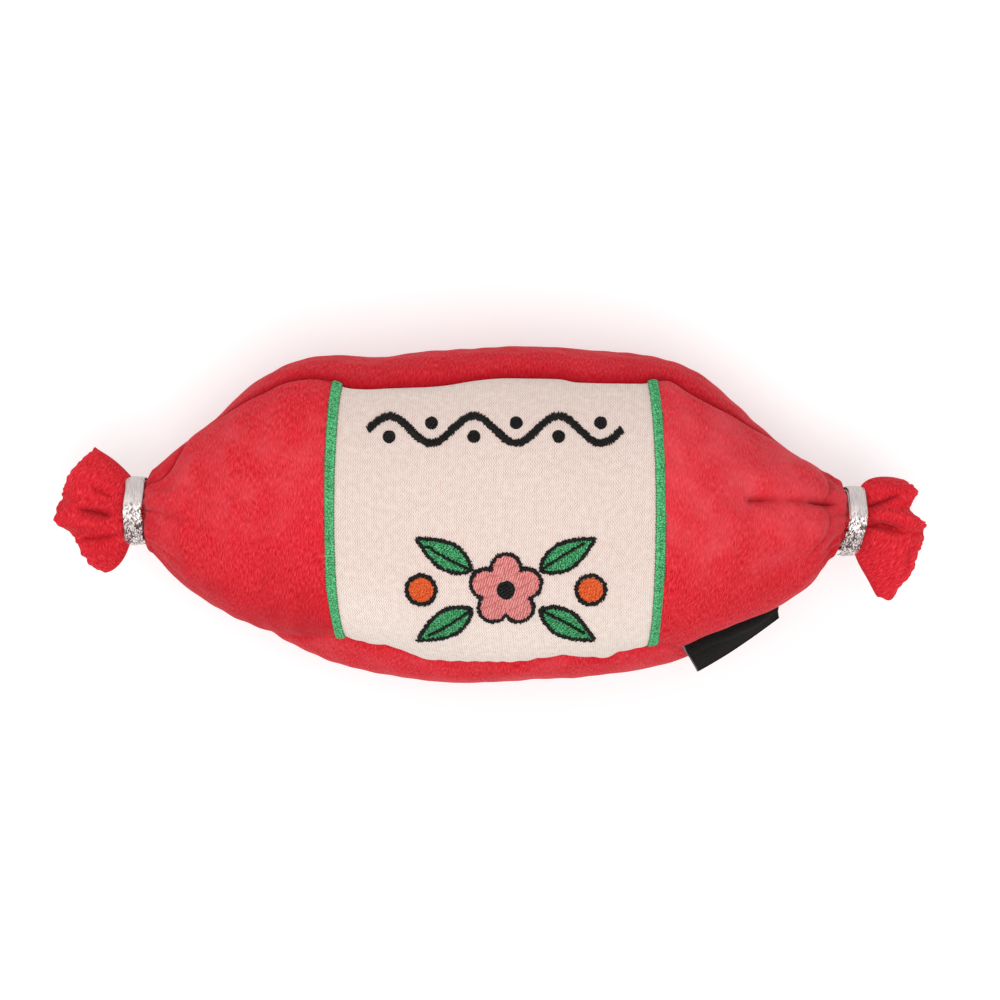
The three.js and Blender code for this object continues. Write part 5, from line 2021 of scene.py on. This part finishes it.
@dataclass
class Filling:
    """The fibre plug and the two sheets of crinkle film inside the body."""

    form: BodyForm
    wardrobe: Wardrobe
    voxel: float = 0.0025
    lump_size: float = 0.012
    lump_height: float = 0.0016
    film_margin: float = 0.032
    film_depth: float = 0.0036
    film_thickness: float = 0.00025
    film_crumple: float = 0.0003

    def plug(self, node: Piece) -> Piece:
        """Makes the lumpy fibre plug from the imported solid's own shape."""
        obj = node.copy()
        obj.data = node.data.copy()
        obj.name = "fibre_plug"
        obj.data.name = "fibre_plug"
        obj.parent = None
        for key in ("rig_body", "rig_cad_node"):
            del obj[key]
        bpy.context.scene.collection.objects.link(obj)
        choose(obj)
        bpy.ops.object.mode_set(mode="EDIT")
        bpy.ops.mesh.select_all(action="SELECT")
        bpy.ops.mesh.remove_doubles(threshold=MERGE_DISTANCE)
        bpy.ops.object.mode_set(mode="OBJECT")
        lumps = obj.modifiers.new("lumps", "REMESH")
        lumps.mode = "VOXEL"
        lumps.voxel_size = self.voxel
        lumps.use_smooth_shade = True
        texture = bpy.data.textures.new("lumps", "CLOUDS")
        texture.noise_scale = self.lump_size
        push = obj.modifiers.new("push", "DISPLACE")
        push.texture = texture
        push.strength = self.lump_height
        apply_modifiers(obj)
        return obj

    def film(self, face: Face) -> Piece:
        """Crumples one sheet of film behind the cloth."""
        form = self.form
        start, end = form.left_neck.x + self.film_margin, form.right_neck.x - self.film_margin
        edge = 0.12 if face is Face.FRONT else 0.1

        def surface(s: Array, t: Array) -> Array:
            """The film's outer side."""
            x = start + (end - start) * s
            points = form.points(x, edge + (1 - 2 * edge) * (1 - t), face)
            crumple = self.film_crumple * np.abs(ripple(points[..., 0], points[..., 1], 0.004, 21))
            return points - grid_normals(points) * (self.film_depth + crumple)[..., None]

        obj = sheet_grid(face.value + "_film", 90, 70, surface)
        thicken(obj, self.film_thickness, 0)
        return obj

    def build(self, frame: dict) -> None:
        """Builds, dresses and fastens the filling."""
        plug = self.plug(frame["nodes"]["stuffing"])
        fasten(plug, self.wardrobe.fibre, BODY, "white_fibre", "stuffing")
        for face in Face:
            film = self.film(face)
            fasten(film, self.wardrobe.film, BODY, "clear_film", face.value + "_crinkle_film")


# Studio


def seen_rays(nodes: Nodes) -> Socket:
    """1 for rays that see the backdrop: the camera's own, and those in metal and clear film."""
    path = nodes.add("ShaderNodeLightPath").outputs
    mirrored = nodes.math("MAXIMUM", path["Is Glossy Ray"], path["Is Transmission Ray"])
    return nodes.math("MAXIMUM", path["Is Camera Ray"], mirrored)


@dataclass
class Studio:
    """The pale floor, the soft lights and the camera."""

    view_middle: tuple[float, float] = (0.00367, 0.005)
    view_height: float = 0.9
    view_width: float = 1 / 3
    axis_height: float = 0.042
    sensor: float = 36.0

    def floor(self) -> None:
        """Adds the floor, plain white to the camera apart from the toy's shadow."""
        deselect_all()
        bpy.ops.mesh.primitive_plane_add(size=6)
        obj = bpy.context.active_object
        obj.name = "studio_floor"
        material = bpy.data.materials.new("pale floor")
        material.use_nodes = True
        nodes = Nodes(material.node_tree)
        paper = nodes.add("ShaderNodeBsdfDiffuse", {"Color": (0.8, 0.8, 0.8, 1)})
        glow = nodes.add("ShaderNodeEmission", {"Color": (1, 1, 1, 1), "Strength": 0.36})
        both = nodes.add("ShaderNodeAddShader", {0: paper.outputs[0], 1: glow.outputs[0]})
        ways = {0: seen_rays(nodes), 1: paper.outputs[0], 2: both.outputs[0]}
        mixed = nodes.add("ShaderNodeMixShader", ways)
        nodes.add("ShaderNodeOutputMaterial", {"Surface": mixed.outputs[0]})
        obj.data.materials.append(material)
        obj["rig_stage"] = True

    def lamp(self, name: str, place: tuple[float, float, float], size: float, power: float) -> None:
        """Adds a square soft lamp aimed at the toy."""
        data = bpy.data.lights.new(name, "AREA")
        data.size = size
        data.energy = power
        obj = bpy.data.objects.new(name, data)
        obj.location = place
        aim = Vector((0, 0, self.axis_height)) - Vector(place)
        obj.rotation_euler = aim.to_track_quat("-Z", "Y").to_euler()
        bpy.context.scene.collection.objects.link(obj)

    def surroundings(self) -> None:
        """Sets an even pale world."""
        world = bpy.data.worlds.new("studio")
        bpy.context.scene.world = world
        world.use_nodes = True
        nodes = Nodes(world.node_tree)
        light = nodes.add("ShaderNodeBackground", {"Color": (1, 1, 1, 1), "Strength": 0.5})
        shown = nodes.add("ShaderNodeBackground", {"Color": (1, 1, 1, 1), "Strength": 1.0})
        ways = {0: seen_rays(nodes), 1: light.outputs[0], 2: shown.outputs[0]}
        mixed = nodes.add("ShaderNodeMixShader", ways)
        nodes.add("ShaderNodeOutputWorld", {"Surface": mixed.outputs[0]})

    def camera(self) -> None:
        """Adds the camera, looking straight down on the label."""
        data = bpy.data.cameras.new("camera")
        data.sensor_width = self.sensor
        data.lens = self.sensor * self.view_height / self.view_width
        obj = bpy.data.objects.new("camera", data)
        obj.location = (*self.view_middle, self.axis_height + self.view_height)
        bpy.context.scene.collection.objects.link(obj)
        bpy.context.scene.camera = obj

    def build(self) -> None:
        """Sets up the whole studio."""
        self.camera()
        self.floor()
        self.surroundings()
        self.lamp("key", (0.05, -0.3, 1.1), 0.8, 6.4)
        self.lamp("fill", (-0.45, 0.5, 0.9), 0.9, 2.4)
        bpy.context.scene.view_settings.view_transform = "Standard"


def corners(bounds: tuple[Vector, Vector]) -> list[list[float]]:
    """Turns a box's two corners into plain lists."""
    return [list(corner) for corner in bounds]


def joint_place(frame: dict, name: str) -> Vector:
    """The place of a packed joint."""
    return Vector(next(joint["pos_m"] for joint in frame["joints"] if joint["name"] == name))


def main() -> None:
    """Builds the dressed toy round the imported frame."""
    logging.basicConfig(level=logging.INFO, format="%(message)s")
    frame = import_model()
    packed = corners(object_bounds())
    Studio().build()
    wardrobe = Wardrobe()
    form = BodyForm(joint_place(frame, "left_neck_sway"), joint_place(frame, "right_neck_sway"))
    panels = StuffedBody(form, wardrobe).build()
    work = ThreadWork(panels["label_cloth"], wardrobe)
    for side in Side:
        SatinBorder(side).build(work, form)
    label_middle = form.middle + form.label_shift
    edges = form.points(np.full(2, label_middle), np.array((0.0, 1.0)), Face.FRONT)
    upper, lower = (float(y) for y in edges[:, 1])
    Motifs(label_middle, upper, lower).build(work)
    left = TiedEnd(
        Side.LEFT, form.left_neck, joint_place(frame, "left_ruff_nod"), form.leans[Side.LEFT],
        LEFT_RIM_ALONG, LEFT_RIM_ACROSS, (0.4, 0.66), LEFT_CREASES, LEFT_BULGES,
        ribbon_turn=math.radians(150), ribbon_width=0.0062, ribbon_drift=0.0,
        belly=(0.74, 1.0), side_bow=(0.004, 0.003), start_back=(0.002, 0.001),
    )
    right = TiedEnd(
        Side.RIGHT, form.right_neck, joint_place(frame, "right_ruff_nod"), form.leans[Side.RIGHT],
        RIGHT_RIM_ALONG, RIGHT_RIM_ACROSS, (0.33, 0.53), RIGHT_CREASES, RIGHT_BULGES,
        ribbon_turn=math.radians(136), ribbon_width=0.0056, ribbon_drift=0.0005,
        belly=(1.1, 0.72), side_bow=(0.0062, 0.002), start_back=(0.0016, 0.0022),
    )
    for end in (left, right):
        end.build(wardrobe)
    flap = next(joint for joint in frame["joints"] if joint["name"] == "tag_flap")
    tag = SideTag(Vector(flap["pos_m"]), Vector(flap["axis"]).normalized(), form)
    tag.build(wardrobe, panels["back_right_cloth"])
    Filling(form, wardrobe).build(frame)
    {"packed": packed, "dressed": corners(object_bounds())}


if __name__ == "__main__":
    main()
